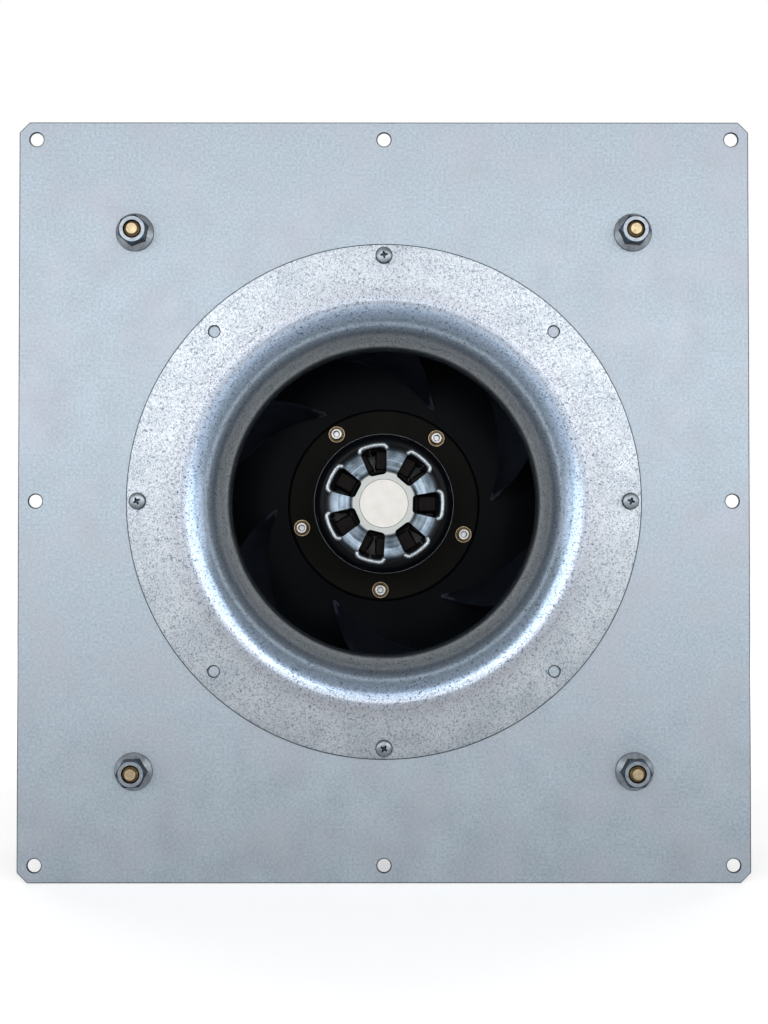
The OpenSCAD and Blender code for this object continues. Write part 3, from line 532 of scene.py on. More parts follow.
@dataclass(frozen=True)
class Finish:
    """A surface whose colour drifts in patches, with a fine grain in its gloss and relief.

    Attributes:
        name: the material and how its surface was made.
        dark: sRGB colour of its darker patches.
        light: sRGB colour of its lighter patches.
        metallic: 1 for a bare metal, 0 for anything else.
        smooth: roughness where it is smoothest.
        rough: roughness where it is roughest.
        patch: size of the patches in millimetres.
        grain: size of the grain in millimetres.
        relief: height of the grain in millimetres.
        specular: specular level of the shader.
    """

    name: str
    dark: str
    light: str
    metallic: float
    smooth: float
    rough: float
    patch: float = 20.0
    grain: float = 0.8
    relief: float = 0.01
    specular: float = 0.5

    def material(self) -> bpy.types.Material:
        """Builds the finish as a material.

        Returns:
            The material with its node tree.
        """
        material = bpy.data.materials.new(self.name)
        material.use_nodes = True
        tree = material.node_tree
        tree.nodes.clear()
        place = add(tree, "ShaderNodeTexCoord").outputs["Object"]
        inputs = self.surface(tree, place)
        bump = add(tree, "ShaderNodeBump", {
            "Strength": 0.5, "Distance": self.relief * MM, "Height": inputs.pop("Height")
        })
        shader = add(tree, "ShaderNodeBsdfPrincipled", {
            "Metallic": self.metallic, "Specular IOR Level": self.specular,
            "Normal": bump.outputs["Normal"], **inputs,
        })
        add(tree, "ShaderNodeOutputMaterial", {"Surface": shader.outputs["BSDF"]})
        return material

    def radius(self, tree: bpy.types.NodeTree, place: bpy.types.NodeSocket) -> bpy.types.NodeSocket:
        """Gives the distance from the fan's axis.

        Args:
            tree: the material's tree.
            place: the Object coordinates.

        Returns:
            The distance's output socket, in metres.
        """
        flat = add(tree, "ShaderNodeVectorMath", {0: place, 1: (1.0, 0.0, 1.0)}, operation="MULTIPLY")
        length = add(tree, "ShaderNodeVectorMath", {0: flat.outputs["Vector"]}, operation="LENGTH")
        return length.outputs["Value"]

    def radius_mask(
        self, tree: bpy.types.NodeTree, place: bpy.types.NodeSocket, start: float, end: float
    ) -> bpy.types.NodeSocket:
        """Gives a mask that rises smoothly from 0 to 1 between two radii round the fan's axis.

        Args:
            tree: the material's tree.
            place: the Object coordinates.
            start: radius in millimetres where the mask is 0.
            end: radius in millimetres where it is 1.

        Returns:
            The mask's output socket.
        """
        return add(tree, "ShaderNodeMapRange", {
            "Value": self.radius(tree, place), "From Min": start * MM, "From Max": end * MM,
        }, interpolation_type="SMOOTHSTEP").outputs["Result"]

    def surface(self, tree: bpy.types.NodeTree, place: bpy.types.NodeSocket) -> dict:
        """Lays out what varies over the surface.

        Args:
            tree: the material's tree.
            place: the Object coordinates.

        Returns:
            Output sockets by the shader's input that they feed, and the height of the relief.
        """
        patches = add(tree, "ShaderNodeTexNoise", {
            "Vector": place, "Scale": 1 / (self.patch * MM), "Detail": 3.0
        })
        grains = add(tree, "ShaderNodeTexNoise", {
            "Vector": place, "Scale": 1 / (self.grain * MM), "Detail": 2.0
        })
        blend = add(tree, "ShaderNodeMix", {
            "Factor": 0.35, "A": patches.outputs["Fac"], "B": grains.outputs["Fac"]
        })
        colour = add(tree, "ShaderNodeValToRGB", {"Fac": blend.outputs[0]}, stops={
            0.35: linear(self.dark), 0.65: linear(self.light)
        })
        roughness = add(tree, "ShaderNodeMapRange", {
            "Value": grains.outputs["Fac"], "From Min": 0.3, "From Max": 0.7,
            "To Min": self.smooth, "To Max": self.rough,
        })
        return {
            "Base Color": colour.outputs["Color"], "Roughness": roughness.outputs["Result"],
            "Height": grains.outputs["Fac"],
        }


@dataclass(frozen=True)
class GalvanisedSheet(Finish):
    """Skin-passed hot-dip zinc sheet: a soft grey-blue, a faint spangle and rolling marks along the sheet.

    Attributes:
        spangle: size of a spangle in millimetres.
        streak: width of a rolling mark in millimetres, drawn wider than the real ones so that they show.
        cast: sRGB colour that the larger patches lean to.
    """

    spangle: float = 5.0
    streak: float = 0.7
    cast: str = "#8b8a93"

    def surface(self, tree: bpy.types.NodeTree, place: bpy.types.NodeSocket) -> dict:
        """Adds spangles and rolling marks to the drifting patches.

        Args:
            tree: the material's tree.
            place: the Object coordinates.

        Returns:
            Output sockets, as for a plain finish.
        """
        patches = add(tree, "ShaderNodeTexNoise", {
            "Vector": place, "Scale": 1 / (self.patch * MM), "Detail": 4.0
        })
        cells = add(tree, "ShaderNodeTexVoronoi", {"Vector": place, "Scale": 1 / (self.spangle * MM)})
        tone = add(tree, "ShaderNodeRGBToBW", {"Color": cells.outputs["Color"]})
        along = add(tree, "ShaderNodeMapping", {"Vector": place, "Scale": (0.05, 1.0, 1.0)})
        marks = add(tree, "ShaderNodeTexNoise", {
            "Vector": along.outputs["Vector"], "Scale": 1 / (self.streak * MM), "Detail": 2.0
        })
        grains = add(tree, "ShaderNodeTexNoise", {
            "Vector": place, "Scale": 1 / (self.grain * MM), "Detail": 3.0
        })
        spangled = add(tree, "ShaderNodeMix", {
            "Factor": 0.1, "A": patches.outputs["Fac"], "B": tone.outputs["Val"]
        })
        marked = add(tree, "ShaderNodeMix", {
            "Factor": 0.2, "A": spangled.outputs[0], "B": marks.outputs["Fac"]
        })
        grained = add(tree, "ShaderNodeMix", {
            "Factor": 0.6, "A": marked.outputs[0], "B": grains.outputs["Fac"]
        })
        toned = add(tree, "ShaderNodeValToRGB", {"Fac": grained.outputs[0]}, stops={
            0.34: linear(self.dark), 0.66: linear(self.light)
        })
        drift = add(tree, "ShaderNodeTexNoise", {
            "Vector": place, "Scale": 0.6 / (self.patch * MM), "Detail": 2.0
        })
        lean = add(tree, "ShaderNodeMapRange", {
            "Value": drift.outputs["Fac"], "From Min": 0.42, "From Max": 0.66, "To Min": 0.0, "To Max": 0.35
        })
        colour = add(tree, "ShaderNodeMix", {
            0: lean.outputs["Result"], 6: toned.outputs["Color"], 7: linear(self.cast)
        }, data_type="RGBA")
        roughness = add(tree, "ShaderNodeMapRange", {
            "Value": marked.outputs[0], "From Min": 0.35, "From Max": 0.65,
            "To Min": self.smooth, "To Max": self.rough,
        })
        return {
            "Base Color": colour.outputs[2], "Roughness": roughness.outputs["Result"],
            "Height": grained.outputs[0],
        }


@dataclass(frozen=True)
class SpunZinc(Finish):
    """Zinc-coated sheet spun to a bell: the flange keeps its bright pitted coat, the bell is burnished.

    Attributes:
        pit: length of a pit in the flange's coat in millimetres.
        pit_colour: sRGB colour of the pits.
        speck_colour: sRGB colour of the pits down the bell.
        bell_rough: roughness of the bell.
        throat: inner radius of the throat in millimetres.
        coat_start: radius in millimetres at which the flange's coat starts.
        mouth: radius at which it is whole.
        gloss_start: radius in millimetres at which the flange's gloss starts.
        gloss_full: radius at which it is full.
    """

    pit: float = 1.9
    pit_colour: str = "#58606a"
    speck_colour: str = "#3c4855"
    bell_rough: float = 0.2
    throat: float = 109.0
    coat_start: float = 138.0
    mouth: float = 156.0
    gloss_start: float = 131.0
    gloss_full: float = 152.0

    def surface(self, tree: bpy.types.NodeTree, place: bpy.types.NodeSocket) -> dict:
        """Lays a pitted coat on the flange, a burnished one on the bell and a scuffed one on the lip, with
        painted reflection bands down both.

        Args:
            tree: the material's tree.
            place: the Object coordinates.

        Returns:
            Output sockets, as for a plain finish.
        """
        across = add(tree, "ShaderNodeMapRange", {
            "Value": self.radius(tree, place), "From Min": self.throat * MM, "From Max": self.mouth * MM
        }).outputs["Result"]
        flange = self.radius_mask(tree, place, self.coat_start, self.mouth)
        pits = add(tree, "ShaderNodeTexNoise", {
            "Vector": place, "Scale": 1.4 / (self.pit * MM),
            "Detail": 1.0, "Roughness": 0.5, "Distortion": 1.4
        })
        patches = add(tree, "ShaderNodeTexNoise", {
            "Vector": place, "Scale": 1 / (self.patch * MM), "Detail": 3.0
        })
        base = add(tree, "ShaderNodeValToRGB", {"Fac": patches.outputs["Fac"]}, stops={
            0.3: linear(self.dark), 0.7: linear(self.light)
        })
        # A pit is a short stroke: a contour line of one noise, cut into lengths by another
        contour = add(tree, "ShaderNodeTexNoise", {
            "Vector": place, "Scale": 1 / (self.pit * MM), "Detail": 0.0, "Distortion": 0.6
        })
        away = add(tree, "ShaderNodeMath", {0: contour.outputs["Fac"], 1: 0.5}, operation="SUBTRACT")
        width = add(tree, "ShaderNodeMath", {0: away.outputs[0]}, operation="ABSOLUTE")
        stroke = add(tree, "ShaderNodeMapRange", {
            "Value": width.outputs[0], "From Min": 0.03, "From Max": 0.13, "To Min": 1.0, "To Max": 0.0
        })
        # Pits are dense on the flange and thin out down the bell
        reach = add(tree, "ShaderNodeMapRange", {"Value": flange, "To Min": 0.47, "To Max": 0.6})
        dense = add(tree, "ShaderNodeMapRange", {
            "Value": pits.outputs["Fac"], "From Min": 0.4, "From Max": reach.outputs["Result"],
            "To Min": 1.0, "To Max": 0.0
        })
        pitted = add(tree, "ShaderNodeMath", {
            0: stroke.outputs["Result"], 1: dense.outputs["Result"]
        }, operation="MULTIPLY")
        pit_colour = add(tree, "ShaderNodeMix", {
            0: flange, 6: linear(self.speck_colour), 7: linear(self.pit_colour)
        }, data_type="RGBA")
        # Painted reflection bands from the throat outwards: dark edge, light line, grey, dark blue, thin
        # light ring, blue, grey bend
        spun = add(tree, "ShaderNodeValToRGB", {"Fac": across}, stops={
            0.0: linear("#30363c"), 0.016: linear("#555c62"), 0.036: linear("#bcc2c5"),
            0.072: linear("#9aa0a5"), 0.13: linear("#70777d"), 0.194: linear("#5f6771"),
            0.251: linear("#6b7784"), 0.291: linear("#8f9ca9"), 0.332: linear("#6d7a88"),
            0.485: linear("#8190a2"), 0.583: linear("#858c96"), 0.711: linear("#7c7f85"),
            0.85: linear("#808388"),
        })
        speckled = add(tree, "ShaderNodeMapRange", {
            "Value": pits.outputs["Fac"], "From Min": 0.3, "From Max": 0.7, "To Min": 0.82, "To Max": 1.14
        })
        bell = add(tree, "ShaderNodeVectorMath", {
            0: spun.outputs["Color"], "Scale": speckled.outputs["Result"]
        }, operation="SCALE")
        sheet = add(tree, "ShaderNodeMix", {
            0: flange, 6: bell.outputs["Vector"], 7: base.outputs["Color"]
        }, data_type="RGBA")
        colour = add(tree, "ShaderNodeMix", {
            0: pitted.outputs[0], 6: sheet.outputs[2], 7: pit_colour.outputs[2]
        }, data_type="RGBA")
        coat_gloss = add(tree, "ShaderNodeMapRange", {
            "Value": pits.outputs["Fac"], "From Min": 0.4, "From Max": 0.65,
            "To Min": self.rough, "To Max": self.smooth,
        })
        bend = self.radius_mask(tree, place, self.gloss_start, self.gloss_full)
        gloss = add(tree, "ShaderNodeMix", {
            "Factor": bend, "A": self.bell_rough, "B": coat_gloss.outputs["Result"]
        })
        # Burnishing flattens the pits down the bell
        depth = add(tree, "ShaderNodeMapRange", {"Value": flange, "To Min": 0.4, "To Max": 1.0})
        height = add(tree, "ShaderNodeMath", {
            0: pits.outputs["Fac"], 1: depth.outputs["Result"]
        }, operation="MULTIPLY")
        # The scuffed throat scatters light, the rest mirrors it
        metal = add(tree, "ShaderNodeMapRange", {
            "Value": across, "From Min": 0.226, "From Max": 0.404, "To Min": 0.3, "To Max": 1.0
        })
        return {
            "Base Color": colour.outputs[2], "Roughness": gloss.outputs[0],
            "Metallic": metal.outputs["Result"], "Height": height.outputs[0],
        }


@dataclass(frozen=True)
class TurnedMetal(Finish):
    """A drawn or machined metal with faint rings round the fan's axis.

    Attributes:
        ring: width of a ring in millimetres, drawn wider than the real ones so that they show.
    """

    ring: float = 4.0

    def surface(self, tree: bpy.types.NodeTree, place: bpy.types.NodeSocket) -> dict:
        """Adds rings by radius to the drifting patches.

        Args:
            tree: the material's tree.
            place: the Object coordinates.

        Returns:
            Output sockets, as for a plain finish.
        """
        rings = add(tree, "ShaderNodeTexNoise", {
            "W": self.radius(tree, place), "Scale": 1 / (self.ring * MM), "Detail": 2.0
        }, noise_dimensions="1D")
        patches = add(tree, "ShaderNodeTexNoise", {
            "Vector": place, "Scale": 1 / (self.patch * MM), "Detail": 3.0
        })
        blend = add(tree, "ShaderNodeMix", {
            "Factor": 0.4, "A": patches.outputs["Fac"], "B": rings.outputs["Fac"]
        })
        colour = add(tree, "ShaderNodeValToRGB", {"Fac": blend.outputs[0]}, stops={
            0.35: linear(self.dark), 0.65: linear(self.light)
        })
        roughness = add(tree, "ShaderNodeMapRange", {
            "Value": patches.outputs["Fac"], "From Min": 0.35, "From Max": 0.65,
            "To Min": self.smooth, "To Max": self.rough,
        })
        return {
            "Base Color": colour.outputs["Color"], "Roughness": roughness.outputs["Result"],
            "Height": rings.outputs["Fac"],
        }


@dataclass(frozen=True)
class RotorCoat(TurnedMetal):
    """A drawn cup that is painted black round its shoulder, with a pale matt painted reflection on its middle
    flat.

    Attributes:
        paint: sRGB colour of the paint.
        blasted: sRGB colour of the middle flat, a painted reflection of the white surroundings.
        flat_end: radius in millimetres where the pale flat starts to fade.
        bare_start: radius in millimetres where the drawn metal is bare.
        paint_start: radius in millimetres where the paint starts to cover.
        paint_full: radius in millimetres where it covers fully.
    """

    paint: str = "#07090c"
    blasted: str = "#abafad"
    flat_end: float = 22.6
    bare_start: float = 24.6
    paint_start: float = 35.0
    paint_full: float = 42.8

    def surface(self, tree: bpy.types.NodeTree, place: bpy.types.NodeSocket) -> dict:
        """Lays the paint, and the painted reflection on the middle flat, over the drawn metal.

        Args:
            tree: the material's tree.
            place: the Object coordinates.

        Returns:
            Output sockets, as for a plain finish.
        """
        base = super().surface(tree, place)
        paint = self.radius_mask(tree, place, self.paint_start, self.paint_full)
        bare = self.radius_mask(tree, place, self.flat_end, self.bare_start)
        # The middle flat takes a pale matt colour as a painted reflection of the white surroundings
        middle = add(tree, "ShaderNodeMix", {
            0: bare, 6: linear(self.blasted), 7: base["Base Color"]
        }, data_type="RGBA")
        colour = add(tree, "ShaderNodeMix", {
            0: paint, 6: middle.outputs[2], 7: linear(self.paint)
        }, data_type="RGBA")
        blasted = add(tree, "ShaderNodeMix", {"Factor": bare, "A": 0.55, "B": base["Roughness"]})
        gloss = add(tree, "ShaderNodeMix", {"Factor": paint, "A": blasted.outputs[0], "B": 0.1})
        matt = add(tree, "ShaderNodeMapRange", {"Value": bare, "To Min": 0.3, "To Max": 1.0})
        metal = add(tree, "ShaderNodeMix", {"Factor": paint, "A": matt.outputs["Result"], "B": 0.0})
        return {
            "Base Color": colour.outputs[2], "Roughness": gloss.outputs[0], "Metallic": metal.outputs[0],
            "Height": base["Height"],
        }


@dataclass(frozen=True)
class Laminations(Finish):
    """Punched sheets stacked along the fan's axis: fine dark and light lines across the teeth.

    Attributes:
        sheet: thickness of one sheet in millimetres, twice the real one so that the lines show.
    """

    sheet: float = 1.0

    def surface(self, tree: bpy.types.NodeTree, place: bpy.types.NodeSocket) -> dict:
        """Lays lines across the axis over the drifting patches.

        Args:
            tree: the material's tree.
            place: the Object coordinates.

        Returns:
            Output sockets, as for a plain finish.
        """
        lines = add(tree, "ShaderNodeTexWave", {
            "Vector": place, "Scale": math.tau / (20 * self.sheet * MM), "Distortion": 0.0
        }, bands_direction="Y")
        base = super().surface(tree, place)
        colour = add(tree, "ShaderNodeMix", {
            0: lines.outputs["Fac"], 6: linear(self.dark), 7: base["Base Color"]
        }, data_type="RGBA")
        return {**base, "Base Color": colour.outputs[2], "Height": lines.outputs["Fac"]}


class Touch(Enum):
    """Finishes of single faces, beside the record's slots."""

    SHEARED_AND_SHADED = "sheared_edge"
    PAINTED_SHADE = "dark_flank"
    RUBBED = "rubbed_lip"
    MATT = "matt_ring"
    LIT_BLADE = "polished_blade"
    SHADED_STRAW = "deep_straw"
    EDGE_HIGHLIGHT = "worn_edge"
    NOSE_GLINT = "rubbed_nose"
    BRIGHT = "bright_head"


FINISHES = {
    # Hot-dip zinc, skin-passed: a soft even grey-blue with a faint mottle
    Slot.SHEET: GalvanisedSheet("galvanised_sheet_rolled", "#76818a", "#929ca4", 0.85, 0.46, 0.58,
                                patch=26.0, grain=1.7, relief=0.03),
    # Zinc-coated sheet, spun: bright pitted flange, burnished bell with painted blue-grey reflection bands
    Slot.NOZZLE: SpunZinc("zinc_coated_sheet_spun", "#81878d", "#90959a", 1.0, 0.27, 0.42,
                          patch=26.0, relief=0.045),
    # Blue-white zinc plate on steel: a cool mid grey with a soft shine
    Slot.HARDWARE: Finish("steel_blue_zinc_plated", "#5e646a", "#7e848a", 1.0, 0.28, 0.4,
                          patch=4.0, grain=0.5, relief=0.006),
    # Yellow zinc plate on steel: pale straw with a darker drift
    Slot.YELLOW: Finish("steel_yellow_zinc_plated", "#786b54", "#9b8d73", 1.0, 0.28, 0.42,
                        patch=2.5, grain=0.5, relief=0.006),
    # Glass-filled polyamide, moulded: deep black with a faint shine at a slant
    Slot.IMPELLER: Finish("polyamide_black_moulded", "#05070a", "#090b0f", 0.0, 0.22, 0.3,
                          patch=30.0, grain=0.7, relief=0.006, specular=0.02),
    # Zinc-coated steel, deep drawn: glossy blue-grey bands, black paint round the shoulder, a pale matt
    # painted reflection on the middle flat
    Slot.ROTOR: RotorCoat("steel_drawn_part_painted", "#2c3741", "#808d99", 1.0, 0.22, 0.34,
                          patch=9.0, relief=0.01, specular=0.04),
    # Bearing steel, ground: near mirror
    Slot.BEARING: Finish("bearing_steel_ground", "#a9acb0", "#c8cbce", 1.0, 0.08, 0.16,
                         patch=5.0, relief=0.002),
    # Spring steel, oiled: dark and satin
    Slot.SPRING: Finish("spring_steel_oiled", "#3c3f44", "#5a5d62", 1.0, 0.25, 0.4, patch=3.0, relief=0.004),
    # Aluminium, die-cast and blasted: pale grey with a fine grain
    Slot.CASTING: Finish("aluminium_die_cast", "#9ea1a4", "#c3c6c9", 1.0, 0.42, 0.58,
                         patch=14.0, grain=0.9, relief=0.05),
    # Electrical sheet, punched and stacked: dark lines across the teeth
    Slot.CORE: Laminations("electrical_sheet_stacked", "#3a3e45", "#6a7078", 1.0, 0.35, 0.5, relief=0.03),
    # Polyester, moulded: flat black
    Slot.INSULATOR: Finish("polyester_moulded", "#07080a", "#0e1013", 0.0, 0.4, 0.55, grain=0.6, relief=0.01,
                           specular=0.03),
    # Copper wire, soaked in dark varnish: nearly black with a red-brown warmth
    Slot.COPPER: Finish("copper_wire_varnished", "#080606", "#110d0b", 0.0, 0.25, 0.4, patch=3.0, relief=0.02,
                        specular=0.04),
    # Ferrite, pressed: dull dark grey
    Slot.MAGNET: Finish("ferrite_pressed", "#2a2b2e", "#3b3d41", 0.0, 0.55, 0.7, grain=0.5, relief=0.01),
    # Brass, machined: warm and bright
    Slot.CAGE: Finish("brass_machined", "#a8853f", "#cfae62", 1.0, 0.18, 0.3, patch=3.0, relief=0.004),
    # Polyamide, moulded with a fine spark grain: charcoal, matt
    Slot.NYLON: Finish("polyamide_grained", "#131416", "#212326", 0.0, 0.42, 0.58, grain=0.7, relief=0.03,
                       specular=0.35),
    # Rubber, moulded: black with a soft bloom
    Slot.RUBBER: Finish("rubber_moulded", "#0d0d0d", "#1b1b1b", 0.0, 0.6, 0.75, grain=0.8, relief=0.01,
                        specular=0.25),
    # Glass-epoxy laminate with solder resist: green, glossy
    Slot.LAMINATE: Finish("glass_epoxy_laminate", "#0e3a20", "#17512e", 0.0, 0.25, 0.35,
                          patch=6.0, relief=0.01),
    # Shrink sleeve: dark blue, glossy
    Slot.SLEEVE: Finish("shrink_sleeve_film", "#141a2e", "#1d2540", 0.0, 0.2, 0.3, patch=8.0, relief=0.01),
    # Polyester film, matt coated: warm white
    Slot.FILM: Finish("polyester_film_matt", "#cecbc6", "#d7d5d1", 0.0, 0.38, 0.5, patch=7.0, grain=0.5,
                      relief=0.002, specular=0.35),
    # Sheet steel, sheared: dark between its two zinc faces, and darkened further as a painted shadow line
    # along the edge
    Touch.SHEARED_AND_SHADED: Finish("steel_sheared_and_shaded", "#23292f", "#3d464f", 1.0, 0.4, 0.6, patch=3.0, grain=0.4),
    # Painted shade on zinc-plated steel, on flanks, threads, chamfers and in recesses: dark navy
    Touch.PAINTED_SHADE: Finish("steel_painted_shade", "#1d2732", "#35424f", 1.0, 0.18, 0.3, patch=2.0, grain=0.4,
                        relief=0.004),
    # Drawn lip, rubbed bright: pale satin metal
    Touch.RUBBED: Finish("steel_lip_rubbed", "#747b81", "#959ca2", 0.75, 0.22, 0.32, patch=2.0, relief=0.003),
    # Polyamide against the mould's spark-eroded ring: black, dry and a little lighter
    Touch.MATT: Finish("polyamide_black_matt", "#0b0a09", "#11100e", 0.0, 0.5, 0.65, grain=0.6, relief=0.01,
                       specular=0.05),
    # Polyamide against a polished mould: black with a hard shine along its edges, and a navy tone lifted as
    # painted light for lit patches
    Touch.LIT_BLADE: Finish("polyamide_black_polished_lit", "#0b0e14", "#131822", 0.0, 0.26, 0.34,
                        patch=30.0, grain=0.7, relief=0.004, specular=0.5),
    # Painted shade on yellow zinc plate, in chamfers and dishes: deep olive brown
    Touch.SHADED_STRAW: Finish("steel_yellow_zinc_shaded", "#453822", "#65543a", 1.0, 0.25, 0.4, patch=2.0, grain=0.4,
                       relief=0.004),
    # Painted glint along a blade's leading edge: dark grey
    Touch.NOSE_GLINT: Finish("polyamide_black_glint", "#2a2f36", "#3c434c", 0.0, 0.25, 0.35,
                       patch=6.0, relief=0.004),
    # Painted highlight along the rotor paint's outer edge: grey, dull
    Touch.EDGE_HIGHLIGHT: Finish("paint_edge_highlight", "#6a7178", "#8e959b", 0.0, 0.4, 0.55, patch=3.0, grain=0.5),
    # Clear zinc plate on a cold-headed screw: paler and a little warmer than the nuts
    Touch.BRIGHT: Finish("steel_clear_zinc_plated", "#7c7e80", "#9c9d9e", 1.0, 0.26, 0.38,
                         patch=3.0, grain=0.5, relief=0.006),
}


class Paintshop:
    """Gives pieces and CAD nodes their finish and tells the frame what they are."""

    def __init__(self) -> None:
        """Builds every finish once."""
        self.materials = {slot: finish.material() for slot, finish in FINISHES.items()}
        self.slots = {part["node"]: Slot(part["material_slot"]) for part in frame["record"]["subparts"]}

    def dress_nodes(self) -> None:
        """Puts each CAD node's finish in its material slots."""
        for name, slot in self.slots.items():
            for place in frame["nodes"][name].material_slots:
                place.material = self.materials[slot]

    def hand_over(self, piece: bpy.types.Object, node: str) -> None:
        """Gives a finished piece the material and the body of the CAD node that it stands for.

        Args:
            piece: the piece.
            node: the CAD node.
        """
        slot = self.slots[node]
        body = body_of(frame["nodes"][node])[0]
        piece.data.materials.clear()
        piece.data.materials.append(self.materials[slot])
        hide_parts(node)
        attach(piece, body)
        LOG.info("%s: %d faces, rides on %s", piece.name, len(piece.data.polygons), body)

    def touch(self, piece: bpy.types.Object, finish: Touch, chosen: Callable[[Vector, Vector], bool]) -> None:
        """Gives some faces of a handed-over piece another finish.

        Args:
            piece: the piece.
            finish: the faces' finish.
            chosen: tells from a face's middle in millimetres and its normal whether it is one of them.
        """
        piece.data.materials.append(self.materials[finish])
        last = len(piece.data.materials) - 1
        for face in piece.data.polygons:
            if chosen(face.center / MM, face.normal):
                face.material_index = last


@dataclass
class Assembly:
    """A sub-assembly, which makes its pieces and dresses them. Its sizes are in millimetres.

    Attributes:
        shop: the paintshop that gives the pieces their finish.
    """

    shop: Paintshop

    def build(self) -> None:
        """Makes and dresses the pieces."""
        raise NotImplementedError


@dataclass
class MountingPlate(Assembly):
    """The sheared plate with its cut corners, its fixing holes and the holes for the nozzle and the posts.

    Attributes:
        corner: length of a cut corner.
        margin: distance of the fixing holes from the rim.
        hole_r: radius of a fixing hole.
        mouth_r: radius of the hole for the nozzle.
        stud_hole_r: radius of a hole for a stud.
        screw_hole_r: radius of a hole for a nozzle screw.
        edge: width of the broken edges.
        hole_sides: number of sides of a small hole.
        mouth_sides: number of sides of the hole for the nozzle.
    """

    corner: float = 7.0
    margin: float = 12.0
    hole_r: float = 4.5
    mouth_r: float = 143.0
    stud_hole_r: float = 6.5
    screw_hole_r: float = 3.15
    edge: float = 0.75
    hole_sides: int = 52
    mouth_sides: int = 256

    def build(self) -> None:
        """Shears the blank, drills it and breaks its edges."""
        low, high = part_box("mounting_plate")
        x, z = high.x / MM, high.z / MM
        front, back = low.y / MM, high.y / MM
        outline = []
        for a, b in ((1, -1), (1, 1), (-1, 1), (-1, -1)):
            cut = [(a * (x - self.corner), b * z), (a * x, b * (z - self.corner))]
            outline += cut if a * b < 0 else cut[::-1]
        piece = Workbench.slab("mounting_plate_sheared", outline, front, back)
        rim_x, rim_z = x - self.margin, z - self.margin
        holes = [(u * rim_x, v * rim_z, self.hole_r) for u in (-1, 0, 1) for v in (-1, 0, 1) if u or v]
        holes += [(*place, self.stud_hole_r) for place in Fasteners(self.shop).places()]
        holes += [(*polar(InletNozzle.screw_ring_r, 90 * i), self.screw_hole_r) for i in range(4)]
        Workbench.drill(piece, holes, front, back, self.hole_sides)
        Workbench.drill(piece, [(0, 0, self.mouth_r)], front, back, self.mouth_sides)
        Workbench.soften(piece, self.edge)
        self.shop.hand_over(piece, "mounting_plate")
        # The plate's edges and holes take the sheared finish, which is partly a painted shadow line
        self.shop.touch(piece, Touch.SHEARED_AND_SHADED, lambda at, normal: abs(normal.y) < SHEET_FACE)


@dataclass
class InletNozzle(Assembly):
    """The spun nozzle, with its flat flange, bell mouth and straight lip.

    Attributes:
        mouth_r: radius where the flange bends into the bell.
        throat_r: inner radius of the throat.
        sheet: thickness of the spun sheet.
        bell: depth of the bell's curve.
        screw_hole_r: radius of a screw hole.
        screw_ring_r: radius of the screws' circle.
        spare_hole_r: radius of a spare hole.
        spare_edge: flange's edge to a spare hole's centre.
        land: width of the flange's flat strips, at its rim and three times as wide at its bend.
        edge: width of the softened edges.
        curve_steps: chords of the bell's curve.
        segments: steps of its full turn.
        hole_sides: number of sides of a hole.
    """

    mouth_r: float = 140.0
    throat_r: float = 109.0
    sheet: float = 1.5
    bell: float = 45.0
    screw_hole_r: float = 3.15
    screw_ring_r: float = 168.0
    spare_hole_r: float = 3.7
    spare_edge: float = 12.0
    land: float = 4.0
    edge: float = 0.7
    curve_steps: int = 40
    segments: int = 256
    hole_sides: int = 40

    def bell_point(self, share: float) -> tuple[Vector, Vector]:
        """Gives a point of the bell's air side.

        Args:
            share: share of the way from the flange to the throat.

        Returns:
            The point as (radius, depth), and the direction of the bell's back there.
        """
        t = math.radians(90 * share)
        reach = self.mouth_r - self.throat_r
        point = Vector((self.mouth_r - reach * math.sin(t), self.bell * (1 - math.cos(t)) - self.sheet))
        return point, Vector((self.bell * math.sin(t), reach * math.cos(t))).normalized()

    def build(self) -> None:
        """Spins the sheet, drills its holes and softens its edges."""
        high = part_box("inlet_nozzle")[1]
        flange_r, back = high.x / MM, high.y / MM
        rim_r, bend_r = flange_r - self.land, self.mouth_r + 3 * self.land
        curve = [self.bell_point(share) for share in shares(self.curve_steps)]
        section = [(flange_r, -self.sheet), (rim_r, -self.sheet), (bend_r, -self.sheet)]
        section += [tuple(point) for point, _ in curve]
        section += [(self.throat_r, mix(self.bell - self.sheet, back, 0.5)), (self.throat_r, back)]
        section += [(self.throat_r + self.sheet, back)]
        section += [tuple(point + self.sheet * normal) for point, normal in reversed(curve)]
        section += [(bend_r, 0.0), (rim_r, 0.0), (flange_r, 0.0)]
        piece = Workbench.turn("inlet_nozzle_spun", section, self.segments)
        holes = []
        for first, ring_r, hole_r in (
            (0, self.screw_ring_r, self.screw_hole_r), (45, flange_r - self.spare_edge, self.spare_hole_r)
        ):
            holes += [(*polar(ring_r, first + 90 * i), hole_r) for i in range(4)]
        Workbench.drill(piece, holes, -self.sheet, 0.0, self.hole_sides)
        Workbench.soften(piece, self.edge)
        self.shop.hand_over(piece, "inlet_nozzle")
        flat_r = self.mouth_r + 5
        # The flange's rim and holes take the sheared finish, which is partly a painted shadow line
        self.shop.touch(piece, Touch.SHEARED_AND_SHADED, lambda at, normal: (
            abs(normal.y) < SHEET_FACE and math.hypot(at.x, at.z) > flat_r))


